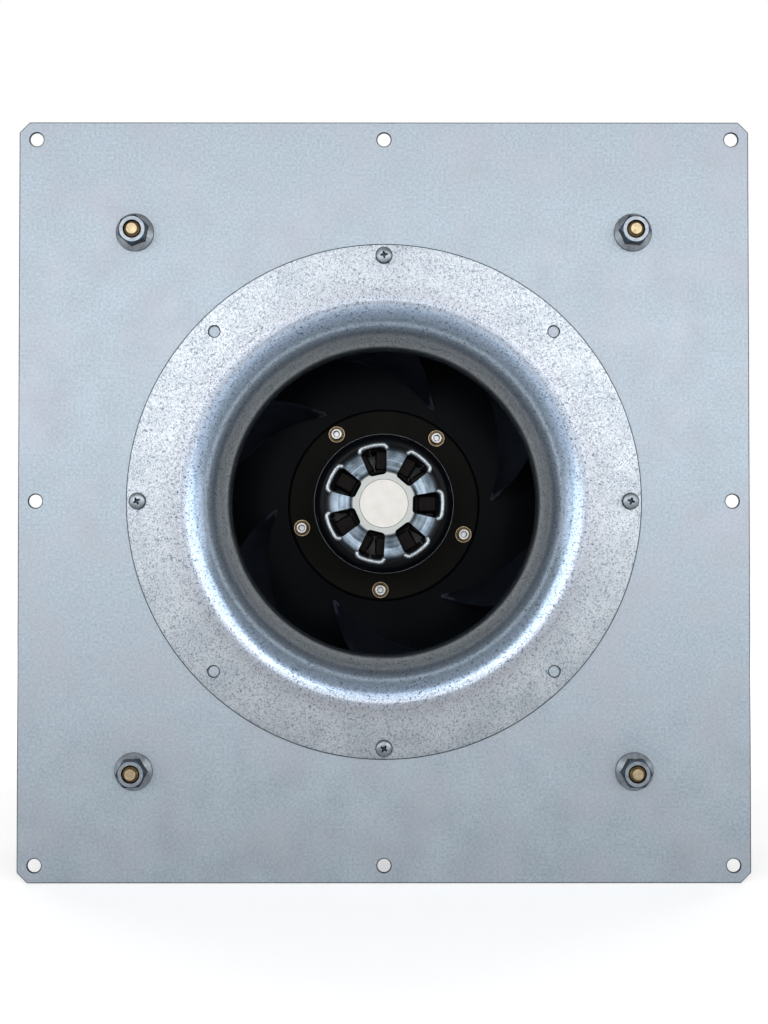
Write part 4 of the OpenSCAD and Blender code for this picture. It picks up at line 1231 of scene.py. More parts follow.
@dataclass
class Screw:
    """A screw that faces the inlet, its seat at depth 0 and its head at negative depth.

    Attributes:
        shank_d: diameter of the thread.
        head_d: diameter of the head.
        head_h: height of the head.
        shank: length of the shank below the seat.
        segments: steps of its full turn.
    """

    shank_d: float
    head_d: float
    head_h: float
    shank: float
    segments: int = 64

    def turned(self, name: str, head: list[Point]) -> bpy.types.Object:
        """Turns the shank with a head on it.

        Args:
            name: name of the screw.
            head: half section of the head from its seat's rim on, as (radius, depth).

        Returns:
            The screw at the origin.
        """
        r = self.shank_d / 2
        section = [(0, self.shank), (r - 0.5, self.shank), (r, self.shank - 0.5), (r, 0)]
        section += head + [(0, -self.head_h)]
        return Workbench.turn(name, section, self.segments, closed=False)


@dataclass
class PanScrew(Screw):
    """A domed screw head with a tapered cross recess."""

    def build(self, name: str) -> bpy.types.Object:
        """Turns the head, cuts the recess and softens the rim.

        Args:
            name: name of the piece.

        Returns:
            The screw at the origin.
        """
        r = self.head_d / 2
        rise = self.head_d * 0.18
        crown = [
            (r * math.cos(math.radians(a)), -self.head_h + rise * (1 - math.sin(math.radians(1.2 * a))))
            for a in range(0, 76, 8)
        ]
        screw = self.turned(name, [(r - 0.3, 0), (r, -0.3)] + crown)
        half, wing, deep = self.head_d * 0.26, self.shank_d * 0.11, self.head_d * 0.2
        start, foot_length, foot_width = -self.head_h - OVERSHOOT, 0.45, 0.6
        for turn in (0, 90):
            cutter = Workbench.slab("cutter", [
                (-half, -wing), (half, -wing), (half, wing), (-half, wing)
            ], start, -self.head_h + deep)
            for vertex in cutter.data.vertices:
                if vertex.co.y > -self.head_h * MM:
                    vertex.co.x *= foot_length
                    vertex.co.z *= foot_width
            Workbench.place(cutter, (0, 0, 0), (0, turn, 0))
            Workbench.combine(screw, cutter)
        dimple = Workbench.turn("cutter", [
            (0, start), (wing * 2.4, start), (wing * 2.0, -self.head_h + 0.6),
            (0, -self.head_h + self.head_d * 0.22)
        ], 24, closed=False)
        Workbench.combine(screw, dimple)
        Workbench.soften(screw, 0.12)
        return screw


@dataclass
class SocketScrew(Screw):
    """A cylindrical screw head with a hexagon socket."""

    def build(self, name: str) -> bpy.types.Object:
        """Turns the screw and cuts its socket.

        Args:
            name: name of the piece.

        Returns:
            The screw at the origin.
        """
        r, edge = self.head_d / 2, 0.7
        head = [(r - 0.2, 0), (r, -0.2), (r, -self.head_h + edge)]
        head += arc((r - edge, -self.head_h + edge), edge, 0, -90, 4)
        screw = self.turned(name, head)
        socket_r = self.shank_d * 0.46
        socket = Workbench.prism("cutter", 6, socket_r, -self.head_h - OVERSHOOT, -self.head_h * 0.45)
        Workbench.combine(screw, socket)
        funnel = Workbench.turn("cutter", [
            (0, -self.head_h - 0.5), (socket_r + 0.75, -self.head_h - 0.5),
            (self.shank_d * 0.345, -self.head_h + 0.8), (0, -self.head_h + 0.8)
        ], 36, closed=False)
        Workbench.combine(screw, funnel)
        Workbench.soften(screw, 0.1)
        return screw


@dataclass
class FlangeNut:
    """A hexagon nut with a conical flange, its seat at depth 0 and facing the inlet.

    Attributes:
        across_flats: width across the flats.
        height: height of the nut.
        flange_r: radius of the flange.
        rim: height of the flange's rim.
        cone: height of the cone above the rim.
        bore_r: radius of the bore.
        segments: steps of its full turn.
    """

    across_flats: float = 18.0
    height: float = 12.0
    flange_r: float = 13.0
    rim: float = 1.6
    cone: float = 2.4
    bore_r: float = 5.92
    segments: int = 96

    @staticmethod
    def is_shaded(face: float) -> Callable[[Vector, Vector], bool]:
        """Tells which faces of a nut take painted shade: its flanks, its chamfers, its rim and its bore.

        Args:
            face: depth of its outer face.

        Returns:
            A test of a face's middle and normal.
        """
        return lambda at, normal: abs(normal.y) < (0.93 if abs(at.y - face) < 4 else 0.62)

    def build(self, name: str) -> bpy.types.Object:
        """Chamfers the hexagon with a cone, joins the flange and bores the thread.

        Args:
            name: name of the piece.

        Returns:
            The nut at the origin.
        """
        corner_r = self.across_flats / math.sqrt(3)
        flat_r = self.across_flats / 2
        top = -self.rim - self.cone
        nut = Workbench.prism(name, 6, corner_r, -self.height, 0)
        chamfer = Workbench.turn("cutter", [
            (0, -self.height - 0.01), (flat_r - 0.5, -self.height - 0.01),
            (corner_r + 1.5, -self.height + 2.1), (corner_r + 1.5, 0.5), (0, 0.5)
        ], self.segments, closed=False)
        Workbench.combine(nut, chamfer, "INTERSECT")
        flange = Workbench.turn("flange", [
            (0, 0), (self.flange_r - 0.4, 0), (self.flange_r, -0.4), (self.flange_r, -self.rim + 0.5),
            (self.flange_r - 0.5, -self.rim), (flat_r + 0.4, top + 0.4), (flat_r - 0.6, top), (0, top)
        ], self.segments, closed=False)
        Workbench.combine(nut, flange, "UNION")
        bore = Workbench.turn("cutter", [
            (0, -self.height - 0.5), (self.bore_r + 0.8, -self.height - 0.5),
            (self.bore_r, -self.height + 0.3), (self.bore_r, 1), (0, 1)
        ], 64, closed=False)
        Workbench.combine(nut, bore)
        Workbench.soften(nut, 0.15)
        return nut


@dataclass
class Fasteners(Assembly):
    """The nozzle's screws, and the posts with their nuts.

    Attributes:
        post_x: half the posts' distance across.
        post_z: half the posts' distance upwards.
        post_r: radius of a post.
        stud_r: radius of a stud.
        nut_h: height of a nut.
        proud: how far a rear stud stands out of its nut.
        pitch: pitch of the studs' thread.
        screw_turns: where each nozzle screw stopped, in degrees.
        nut_turns: where each front nut stopped, in degrees.
    """

    post_x: float = 170.5
    post_z: float = 184.0
    post_r: float = 10.0
    stud_r: float = 5.9
    nut_h: float = 12.0
    proud: float = 1.5
    pitch: float = 1.75
    screw_turns: tuple[int, ...] = (17, -8, 62, 33)
    nut_turns: tuple[int, ...] = (5, -20, -3, 0)

    def places(self) -> list[Point]:
        """Gives the posts' places as (x, z), counted from the upper right one."""
        x, z = self.post_x, self.post_z
        return [(x, z), (-x, z), (-x, -z), (x, -z)]

    def thread(self, start: float, end: float) -> list[Point]:
        """Gives the section of a thread, as rings of the thread's pitch.

        Args:
            start: depth where it starts.
            end: depth where it ends.

        Returns:
            The section's points, as (radius, depth).
        """
        count = int(abs(end - start) / self.pitch)
        step = (end - start) / count
        flank = 0.5 * self.pitch
        points = []
        for i in range(count):
            depth = start + i * step
            points += [(self.stud_r, depth), (self.stud_r - flank, depth + step * 0.45)]
            points += [(self.stud_r - flank, depth + step * 0.55)]
        return points + [(self.stud_r, end)]

    def nozzle_screws(self) -> None:
        """Sets a cross-recess screw in each of the nozzle's screw holes."""
        seat = -InletNozzle.sheet
        head_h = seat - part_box("nozzle_screws")[0].y / MM
        shade_from = seat - head_h + 1.0
        master = PanScrew(shank_d=6.0, head_d=11.6, head_h=head_h, shank=12.0).build("nozzle_screw_1")
        for i, screw in enumerate(Workbench.series(master, 4)):
            x, z = polar(InletNozzle.screw_ring_r, 90 * i)
            Workbench.place(screw, (x, seat, z), (0, self.screw_turns[i], 0))
            self.shop.hand_over(screw, "nozzle_screws")
            # Painted shade on the heads' sides and in their cross recesses
            self.shop.touch(screw, Touch.PAINTED_SHADE, lambda at, normal: (
                abs(normal.y) < 0.7 or at.y > shade_from))

    def posts(self) -> None:
        """Turns the posts with threaded studs, and mills their spanner flats."""
        low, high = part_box("spacer_posts")
        plate_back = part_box("mounting_plate")[1].y / MM
        bracket_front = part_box("motor_bracket")[0].y / MM
        front, back = low.y / MM, high.y / MM
        edge, lead, lead_edge = 0.8, 2.2, 0.6
        chamfer_end = front + lead - lead_edge
        front_thread_end, rear_thread_start = plate_back - 0.5, bracket_front + 3.5
        section = [(0, front), (self.stud_r - lead, front), (self.stud_r - lead_edge, chamfer_end)]
        section += self.thread(front + lead, front_thread_end)
        section += [(self.stud_r, plate_back), (self.post_r - edge, plate_back)]
        section += [(self.post_r, plate_back + edge), (self.post_r, bracket_front - edge)]
        section += [(self.post_r - edge, bracket_front), (self.stud_r, bracket_front)]
        section += self.thread(rear_thread_start, back - lead)
        section += [(self.stud_r - lead, back), (0, back)]
        master = Workbench.turn("spacer_post_1", section, 64, closed=False)
        flat, wide = self.post_r * 0.85, self.post_r * 2
        flats_front, flats_back = bracket_front - 22, bracket_front - 10
        for side in (-1, 1):
            cutter = Workbench.slab("cutter", [
                (-wide, side * flat), (wide, side * flat), (wide, side * wide), (-wide, side * wide)
            ], flats_front, flats_back)
            Workbench.combine(master, cutter)
        Workbench.soften(master, 0.15)
        for (x, z), post in zip(self.places(), Workbench.series(master, 4)):
            Workbench.place(post, (x, 0, z))
            self.shop.hand_over(post, "spacer_posts")
            # Painted shade in the studs' threads
            self.shop.touch(post, Touch.PAINTED_SHADE, lambda at, normal: abs(normal.y) < 0.95 and (
                chamfer_end < at.y < front_thread_end or rear_thread_start < at.y < back - lead))
            # Painted shade on the studs' chamfered ends
            self.shop.touch(post, Touch.SHADED_STRAW, lambda at, normal: abs(normal.y) < 0.95 and not (
                chamfer_end < at.y < back - lead))

    def nuts(self) -> None:
        """Sets the flange nuts on the posts' front and rear studs."""
        rear_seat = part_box("spacer_posts")[1].y / MM - self.nut_h - self.proud
        front_face, rear_face = -self.nut_h, rear_seat + self.nut_h
        master = FlangeNut().build("flange_nut")
        for i, (x, z) in enumerate(self.places()):
            front = Workbench.copy(master, f"front_flange_nut_{i + 1}")
            Workbench.place(front, (x, 0, z), (0, self.nut_turns[i], 0))
            self.shop.hand_over(front, "front_flange_nuts")
            # Painted shade on each nut's flanks, chamfers, rim and bore
            self.shop.touch(front, Touch.PAINTED_SHADE, FlangeNut.is_shaded(front_face))
            rear = Workbench.copy(master, f"rear_flange_nut_{i + 1}")
            Workbench.place(rear, (x, rear_seat, z), (0, 0, 180))
            self.shop.hand_over(rear, "rear_flange_nuts")
            self.shop.touch(rear, Touch.PAINTED_SHADE, FlangeNut.is_shaded(rear_face))
        bpy.data.objects.remove(master)

    def build(self) -> None:
        """Makes the frame's fasteners."""
        self.nozzle_screws()
        self.posts()
        self.nuts()


@dataclass
class Impeller(Assembly):
    """The moulded impeller: hub disc, six ruled blades and the curved shroud with its inlet eye.

    Attributes:
        radius: outer radius.
        eye_r: inner radius of the eye.
        collar: length of the eye's straight collar.
        sweep: radial reach of the shroud's curve.
        rise: rise of the curve along the axis.
        wall: wall of the shroud.
        hub_root_r: radius of a blade's root on the hub.
        shroud_root_r: radius of a blade's root at the shroud.
        wrap_hub: sweep of a blade along the hub in degrees.
        wrap_shroud: sweep along the shroud in degrees.
        lead: lead of the root at the shroud in degrees.
        phase: turn of the first blade in degrees.
        blade_count: number of blades.
        blade: thickness of a blade behind its leading edge.
        blade_edge: thickness before its trailing edge.
        flare: thickness added where a blade meets the hub and the shroud.
        nose: thickness taken off a blade's leading edge.
        rim_gap: how far inside the rim a blade ends.
        bite: how far a blade reaches into the shroud.
        ring_r: outer radius of the hub's clamping ring.
        hub_t: thickness of the hub disc.
        screw_r: radius of the screws' circle.
        screw_phase: turn of the first screw in degrees.
        screw_hole_r: radius of a screw's hole in the hub and in its washer.
        screw_turns: where each screw stopped, in degrees.
        segments: steps of the hub's and the shroud's full turn.
    """

    radius: float = 157.0
    eye_r: float = 112.5
    collar: float = 8.0
    sweep: float = 50.0
    rise: float = 26.0
    wall: float = 2.5
    hub_root_r: float = 85.0
    shroud_root_r: float = 116.0
    wrap_hub: float = 75.0
    wrap_shroud: float = 48.0
    lead: float = 18.0
    phase: float = 2.0
    blade_count: int = 6
    blade: float = 3.0
    blade_edge: float = 2.0
    flare: float = 2.6
    nose: float = 1.6
    rim_gap: float = 1.0
    bite: float = 0.2
    ring_r: float = 74.0
    hub_t: float = 2.5
    screw_r: float = 66.3
    screw_phase: float = 51.7
    screw_hole_r: float = 2.65
    screw_turns: tuple[int, ...] = (12, 40, -9, 25, 3)
    segments: int = 256

    def __post_init__(self) -> None:
        """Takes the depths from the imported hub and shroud."""
        self.eye_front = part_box("impeller_shroud")[0].y / MM
        self.curve_front = self.eye_front + self.collar
        low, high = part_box("impeller_hub")
        self.ring_front = low.y / MM
        self.hub_back = high.y / MM
        self.hub_front = self.hub_back - self.hub_t

    def shroud_point(self, share: float) -> tuple[Vector, Vector]:
        """Gives a point of the shroud's inner curve.

        Args:
            share: share of the way from the eye to the rim.

        Returns:
            The point as (radius, depth), and the direction of the shroud's outside there.
        """
        end = math.acos(1 - (self.radius - self.eye_r) / self.sweep)
        t = end * share
        radius = self.eye_r + self.sweep * (1 - math.cos(t))
        depth = self.curve_front + self.rise * math.sin(t)
        outside = Vector((self.rise * math.cos(t), -self.sweep * math.sin(t))).normalized()
        return Vector((radius, depth)), outside

    def shroud_depth(self, radius: float) -> float:
        """Gives the depth of the shroud's inside at a radius."""
        reach = max(0.0, radius - self.eye_r) / self.sweep
        return self.curve_front + self.rise * math.sin(math.acos(1 - reach))

    def blade_point(self, u: float, v: float) -> Vector:
        """Gives a point of a blade's middle surface in millimetres.

        Args:
            u: share of the way from the leading to the trailing edge.
            v: share of the way from the hub to the shroud.

        Returns:
            The point as (x, depth, z).
        """
        out = self.radius - self.rim_gap
        hub = (self.hub_root_r ** (1 - u) * out ** u, self.wrap_hub * u)
        top = (self.shroud_root_r ** (1 - u) * out ** u, self.lead + self.wrap_shroud * u)
        x, z = polar(mix(hub[0], top[0], v), mix(hub[1], top[1], v))
        return Vector((x, mix(self.hub_front, self.shroud_depth(top[0]) + self.bite, v), z))

    def blades(self) -> None:
        """Shapes one blade from a grid, thickens it towards its roots, and copies it round."""
        root_share, nose_share = 0.07, 0.06
        Workbench.drop_selection()
        bpy.ops.mesh.primitive_grid_add(x_subdivisions=44, y_subdivisions=20, size=1, location=(0, 0, 0))
        master = bpy.context.object
        master.name = master.data.name = "impeller_blade_1"
        thick = self.blade + self.flare
        group = master.vertex_groups.new(name="thickness")
        for vertex in master.data.vertices:
            u, v = vertex.co.x + 0.5, vertex.co.y + 0.5
            ease = (1 - math.cos(math.pi * v)) / 2
            vertex.co = self.blade_point(u, ease) * MM
            root = max(0.0, 1 - min(ease, 1 - ease) / root_share)
            nose = self.nose * max(0.0, 1 - u / nose_share) ** 2
            wall = mix(self.blade, self.blade_edge, u) - nose + self.flare * root ** 3
            group.add([vertex.index], wall / thick, "REPLACE")
        Workbench.modify(
            master, "SOLIDIFY", thickness=thick * MM, offset=0.0, vertex_group="thickness",
            use_even_offset=True,
        )
        Workbench.edit(master)
        Workbench.close_up()
        Workbench.modify(
            master, "BEVEL", width=0.5 * MM, segments=3, limit_method="ANGLE",
            angle_limit=math.radians(50), use_clamp_overlap=False,
        )
        Workbench.smooth(master, 60)
        for i, blade in enumerate(Workbench.series(master, self.blade_count)):
            Workbench.place(blade, (0, 0, 0), (0, -self.phase - 360 * i / self.blade_count, 0))
            self.shop.hand_over(blade, "impeller_blades")
            # The blades' lifted navy tone is painted light
            self.shop.touch(blade, Touch.LIT_BLADE, lambda at, normal: True)
            # Painted glint along each blade's leading edge
            self.shop.touch(blade, Touch.NOSE_GLINT, self.on_nose)

    def on_nose(self, at: Vector, normal: Vector) -> bool:
        """Tells whether a blade's face lies on its leading edge, which leans outwards from hub to shroud.

        Args:
            at: the face's middle in millimetres.
            normal: its normal.

        Returns:
            Whether it does.
        """
        lean = (math.hypot(at.x, at.z) - self.hub_root_r) / (self.shroud_root_r - self.hub_root_r)
        rise = (self.hub_front - at.y) / (self.hub_front - self.curve_front)
        return lean - rise < 0.012 and normal.y < 0.1

    def shroud(self) -> None:
        """Turns the shroud with the bead round its eye."""
        bead = 1.0
        curve = [self.shroud_point(share) for share in shares(36)]
        outer_r = self.eye_r + self.wall
        section = [(self.eye_r + 0.4, self.eye_front), (self.eye_r, self.eye_front + 0.6)]
        section += [tuple(point) for point, _ in curve]
        section += [tuple(point + self.wall * normal) for point, normal in reversed(curve)]
        section += [(outer_r, self.eye_front + 3), (outer_r + bead, self.eye_front + 2)]
        section += [(outer_r + bead, self.eye_front + 0.5), (outer_r + bead - 0.5, self.eye_front)]
        piece = Workbench.turn("impeller_shroud_moulded", section, self.segments)
        Workbench.soften(piece, 0.3)
        self.shop.hand_over(piece, "impeller_shroud")

    def screw_places(self) -> list[Point]:
        """Gives the screws' places as (x, z)."""
        step = 360 / len(self.screw_turns)
        return [polar(self.screw_r, self.screw_phase + step * i) for i in range(len(self.screw_turns))]

    def hub(self) -> None:
        """Turns the hub disc with its raised clamping ring and drills the screw holes."""
        inner, edge, round_r, fillet = RotorCup.radius + 0.3, 0.6, 1.4, 1.2
        land_front, land_back = 110, 80
        foot_r, foot = self.ring_r + 0.3, self.hub_front - fillet
        section = [(inner, self.ring_front + 1), (inner + 1, self.ring_front)]
        section += [(self.ring_r - round_r, self.ring_front)]
        section += arc((self.ring_r - round_r, self.ring_front + round_r), round_r, -90, 0, 5)
        section += [(foot_r, foot)] + arc((foot_r + fillet, foot), fillet, 180, 90, 4)
        section += [(land_front, self.hub_front), (self.radius - edge, self.hub_front)]
        section += [(self.radius, self.hub_front + edge), (self.radius, self.hub_back - edge)]
        section += [(self.radius - edge, self.hub_back), (land_back, self.hub_back), (inner, self.hub_back)]
        piece = Workbench.turn("impeller_hub_moulded", section, self.segments)
        holes = [(*place, self.screw_hole_r) for place in self.screw_places()]
        Workbench.drill(piece, holes, self.ring_front, self.hub_back, 32)
        Workbench.soften(piece, 0.2)
        self.shop.hand_over(piece, "impeller_hub")
        self.shop.touch(piece, Touch.MATT, lambda at, normal: at.y < self.ring_front + 0.5)

    def washer(self, name: str, thick: float) -> bpy.types.Object:
        """Turns a washer with a ring-shaped dish pressed in its face.

        Args:
            name: name of the washer.
            thick: its thickness.

        Returns:
            The washer at the origin, its seat at depth 0.
        """
        outer_r, dish = 6.5, 0.45
        washer = Workbench.turn(name, [
            (self.screw_hole_r, -thick), (4.3, -thick), (4.6, -thick + dish), (5.3, -thick + dish),
            (5.65, -thick), (6.2, -thick), (outer_r, -thick + 0.3), (outer_r, 0), (self.screw_hole_r, 0)
        ], 64)
        Workbench.soften(washer, 0.1)
        return washer

    def screws(self) -> None:
        """Sets the socket screws with their washers on the clamping ring."""
        thick, shade_r = 1.0, 5.5
        count = len(self.screw_turns)
        washers = Workbench.series(self.washer("impeller_washer_1", thick), count)
        screw = SocketScrew(shank_d=5.0, head_d=8.8, head_h=5.0, shank=10.0).build("impeller_screw_1")
        bolts = Workbench.series(screw, count)
        for (x, z), turn, washer, bolt in zip(self.screw_places(), self.screw_turns, washers, bolts):
            Workbench.place(washer, (x, self.ring_front, z))
            self.shop.hand_over(washer, "impeller_washers")
            # Painted shade on the washer's dish and inner face
            self.shop.touch(washer, Touch.SHADED_STRAW, lambda at, normal: math.hypot(at.x - x, at.z - z) < shade_r)
            Workbench.place(bolt, (x, self.ring_front - thick, z), (0, turn, 0))
            self.shop.hand_over(bolt, "impeller_screws")
            self.shop.touch(bolt, Touch.BRIGHT, lambda at, normal: abs(normal.y) >= 0.5)
            # Painted shade on the heads' sides and in their sockets
            self.shop.touch(bolt, Touch.PAINTED_SHADE, lambda at, normal: abs(normal.y) < 0.5)

    def build(self) -> None:
        """Makes the impeller's pieces."""
        self.shroud()
        self.hub()
        self.blades()
        self.screws()


@dataclass
class RotorCup(Assembly):
    """The drawn rotor with its dished face, seven windows, raised lips and blank label.

    Attributes:
        radius: outer radius.
        wall: wall of the drawn cup.
        shoulder: radius of the shoulder.
        plateau_r: radius of the raised flat.
        dish: depth of the dished face under a straight line from the flat to the crest.
        crest_drop: drop of the crest below the flat.
        ripple: height of the pressed ripples.
        ripples: number of half ripples from the flat to the crest.
        window_inner_r: radius of a window's inner edge.
        window_outer_r: radius of its outer edge.
        window_arc: sweep of its outer edge in degrees.
        window_inner_w: width of its inner edge.
        window_phase: turn of the first window in degrees.
        windows: number of windows.
        bead_r: radius of the raised lip.
        corner_r: radius of a window's rounded corners.
        label_r: radius of the label.
        face_steps: chords of the dished face.
        segments: steps of the cup's full turn.
    """

    radius: float = 52.0
    wall: float = 2.2
    shoulder: float = 8.0
    plateau_r: float = 22.9
    dish: float = 2.94
    crest_drop: float = 2.0
    ripple: float = 0.28
    ripples: int = 5
    window_inner_r: float = 21.2
    window_outer_r: float = 41.6
    window_arc: float = 28.4
    window_inner_w: float = 12.5
    window_phase: float = -1.5
    windows: int = 7
    bead_r: float = 1.9
    corner_r: float = 2.6
    label_r: float = 18.0
    face_steps: int = 20
    segments: int = 144

    def __post_init__(self) -> None:
        """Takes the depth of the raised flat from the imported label's back."""
        self.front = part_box("rotor_label")[1].y / MM

    def dish_at(self, share: float) -> float:
        """Gives the depth of the dished face.

        Args:
            share: share of the way from the flat to the crest.

        Returns:
            Its depth below the flat there.
        """
        bowl = max(0.0, math.sin(math.pi * share ** 0.9))
        wave = math.sin(math.pi * share) * math.sin(self.ripples * math.pi * share)
        return self.crest_drop * share + self.dish * bowl + self.ripple * wave

    def window_outline(self) -> list[Point]:
        """Gives the outline of a window, with rounded corners and a side that follows the lip.

        Returns:
            The outline of a window along +X, as (x, z).
        """
        inner_x, inner_z = self.window_inner_r, self.window_inner_w / 2
        outer_x, outer_z = polar(self.window_outer_r, self.window_arc / 2)
        corners = [(inner_x, -inner_z), (outer_x, -outer_z), (outer_x, outer_z), (inner_x, inner_z)]
        return self.bulge(rounded(corners, self.corner_r, 5), outer_x)

    def bulge(self, outline: list[Point], side: float) -> list[Point]:
        """Bends the straight outer side of an outline out to the circle of the lip.

        Args:
            outline: the outline as (x, z), with a straight side where x is greatest.
            side: x of the straight side.

        Returns:
            The outline with that side split and bent.
        """
        circle, near_side, least_length = self.window_outer_r + 0.4, side - 0.3, 4.0
        bent = []
        for i, (x, z) in enumerate(outline):
            bent.append((x, z))
            ahead_x, ahead_z = outline[(i + 1) % len(outline)]
            if min(x, ahead_x) > near_side and abs(ahead_z - z) > least_length:
                steps = [mix(z, ahead_z, share) for share in shares(12)[1:-1]]
                bent += [(math.sqrt(circle ** 2 - step ** 2), step) for step in steps]
        return bent

    def to_window(self, piece: bpy.types.Object, number: int) -> None:
        """Turns a piece from +X to a window.

        Args:
            piece: the piece.
            number: number of the window, from 0.
        """
        angle = self.window_phase + 360 * number / self.windows
        Workbench.place(piece, (0, 0, 0), (0, -angle, 0))

    def cup(self) -> None:
        """Turns the cup, punches its windows and softens their edges."""
        front = self.front
        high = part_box("rotor_cup")[1]
        back, flange_r = high.y / MM, high.x / MM
        flat_r, crest_r = self.window_inner_r - 0.8, self.window_outer_r + self.bead_r - 0.6
        face = [(mix(self.plateau_r, crest_r, s), front + self.dish_at(s)) for s in shares(self.face_steps)]
        centre = (self.radius - self.shoulder, front + self.crest_drop + self.shoulder)
        flange_t, punch_reach = 2.5, 13
        section = [(0, front), (flat_r, front)] + face + arc(centre, self.shoulder, -90, 0, 12)
        section += [(self.radius, back - flange_t), (flange_r, back - flange_t), (flange_r, back)]
        section += [(self.radius - self.wall, back)] + arc(centre, self.shoulder - self.wall, 0, -90, 12)
        section += [(r, depth + self.wall) for r, depth in reversed(face)]
        section += [(flat_r, front + self.wall), (0, front + self.wall)]
        piece = Workbench.turn("rotor_cup_drawn", section, self.segments, closed=False)
        punches = []
        for i in range(self.windows):
            punches.append(Workbench.slab("punch", self.window_outline(), front - 2, front + punch_reach))
            self.to_window(punches[-1], i)
        Workbench.combine(piece, Workbench.join(punches))
        Workbench.soften(piece, 0.15)
        self.shop.hand_over(piece, "rotor_cup")
        # A painted highlight round the cup's outer edge
        highlight_r = self.radius - 0.8
        self.shop.touch(piece, Touch.EDGE_HIGHLIGHT, lambda at, normal: (
            abs(normal.y) < 0.36 and math.hypot(at.x, at.z) > highlight_r and at.y < centre[1]))

    def lips(self) -> None:
        """Draws the bead of a window's raised lip with its ends curled inwards, and copies it round."""
        path_r = self.window_outer_r + self.bead_r
        depth = self.front + self.bead_r + 0.5
        half = self.window_arc / 2
        curl, curl_step, tip = self.corner_r + 0.4, 14, 1.4
        bend = math.degrees(curl / path_r)
        path = [polar(path_r, mix(bend - half, half - bend, share)) for share in shares(24)]
        hook_x, hook_z = polar(path_r - curl, half - bend)
        turned = [polar(curl, half - bend + curl_step * i) for i in range(1, 7)]
        hook = [(hook_x + x, hook_z + z) for x, z in turned]
        hook += [tuple(Vector(hook[-1]) * (1 - tip / path_r))]
        path = [(x, -z) for x, z in reversed(hook)] + path + hook
        master = Workbench.tube("rotor_lip_1", [(x, depth, z) for x, z in path], self.bead_r, 0.55)
        Workbench.smooth(master, 60)
        for i, lip in enumerate(Workbench.series(master, self.windows)):
            self.to_window(lip, i)
            self.shop.hand_over(lip, "rotor_cup")
            self.shop.touch(lip, Touch.RUBBED, lambda at, normal: True)

    def label(self) -> None:
        """Turns the blank label disc with a thin cut rim."""
        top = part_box("rotor_label")[0].y / MM
        rim = 0.3
        piece = Workbench.turn("rotor_label_blank", [
            (0, top), (self.label_r - rim, top), (self.label_r, top + 0.2),
            (self.label_r, self.front), (0, self.front)
        ], 128, closed=False)
        Workbench.smooth(piece, 20)
        self.shop.hand_over(piece, "rotor_label")
        rim_r = self.label_r - rim + 0.01
        # The label's cut rim takes the dark sheared finish as a painted shadow line
        self.shop.touch(piece, Touch.SHEARED_AND_SHADED, lambda at, normal: math.hypot(at.x, at.z) > rim_r)

    def build(self) -> None:
        """Makes the rotor's visible pieces."""
        self.cup()
        self.lips()
        self.label()


@dataclass
class CopiedPieces(Assembly):
    """Pieces that keep their CAD shape, with their faces made whole and their edges softened.

    Attributes:
        edges: rounding in millimetres by node; 0 leaves the edges and only smooths the curves.
    """

    edges: dict[str, float]

    def build(self) -> None:
        """Copies, softens and hands over each piece."""
        for node, width in self.edges.items():
            piece = Workbench.merged_copy(node, f"{node}_finished")
            if width:
                Workbench.soften(piece, width)
            else:
                Workbench.smooth(piece)
            self.shop.hand_over(piece, node)


@dataclass
class SheetMetal(CopiedPieces):
    """The motor bracket and what fastens it, and the nuts clinched into the plate."""

    edges: dict[str, float] = field(default_factory=lambda: {
        "motor_bracket": 0.35, "clinch_nuts": 0.2,
        "bracket_washers": 0.15, "bracket_screws": 0.15,
    })


@dataclass
class Spindle(CopiedPieces):
    """The shaft, its ring and bush, the magnet ring and the two ball bearings."""

    edges: dict[str, float] = field(default_factory=lambda: {
        "shaft": 0.1, "retaining_ring": 0.08, "rotor_bush": 0.15, "magnet_ring": 0.2, "preload_washer": 0.05,
        "front_bearing_inner_ring": 0.1, "front_bearing_outer_ring": 0.1, "front_bearing_cage": 0.05,
        "rear_bearing_inner_ring": 0.1, "rear_bearing_outer_ring": 0.1, "rear_bearing_cage": 0.05,
        "front_bearing_balls": 0, "rear_bearing_balls": 0,
    })


@dataclass
class Stator(CopiedPieces):
    """The cast stator flange with the laminated core, its insulators and windings."""

    edges: dict[str, float] = field(default_factory=lambda: {
        "stator_flange": 0.15, "stator_core": 0, "front_slot_insulator": 0.1, "rear_slot_insulator": 0.1,
        "stator_coils": 0.2, "winding_pins": 0.05,
    })


@dataclass
class Electronics(CopiedPieces):
    """The cast electronics pot with its board, cover, gasket and cable glands."""

    edges: dict[str, float] = field(default_factory=lambda: {
        "electronics_pot": 0.15, "pot_screws": 0.15, "power_module": 0.2, "circuit_board": 0.1,
        "board_screws": 0.12, "capacitors": 0.2, "line_choke": 0.4, "terminal_blocks": 0.25,
        "cover_gasket": 0.3, "electronics_cover": 0.15, "cover_screws": 0.15, "gland_bodies": 0.15,
        "gland_seals": 0.3, "gland_cap_nuts": 0, "earth_screw": 0.12,
    })


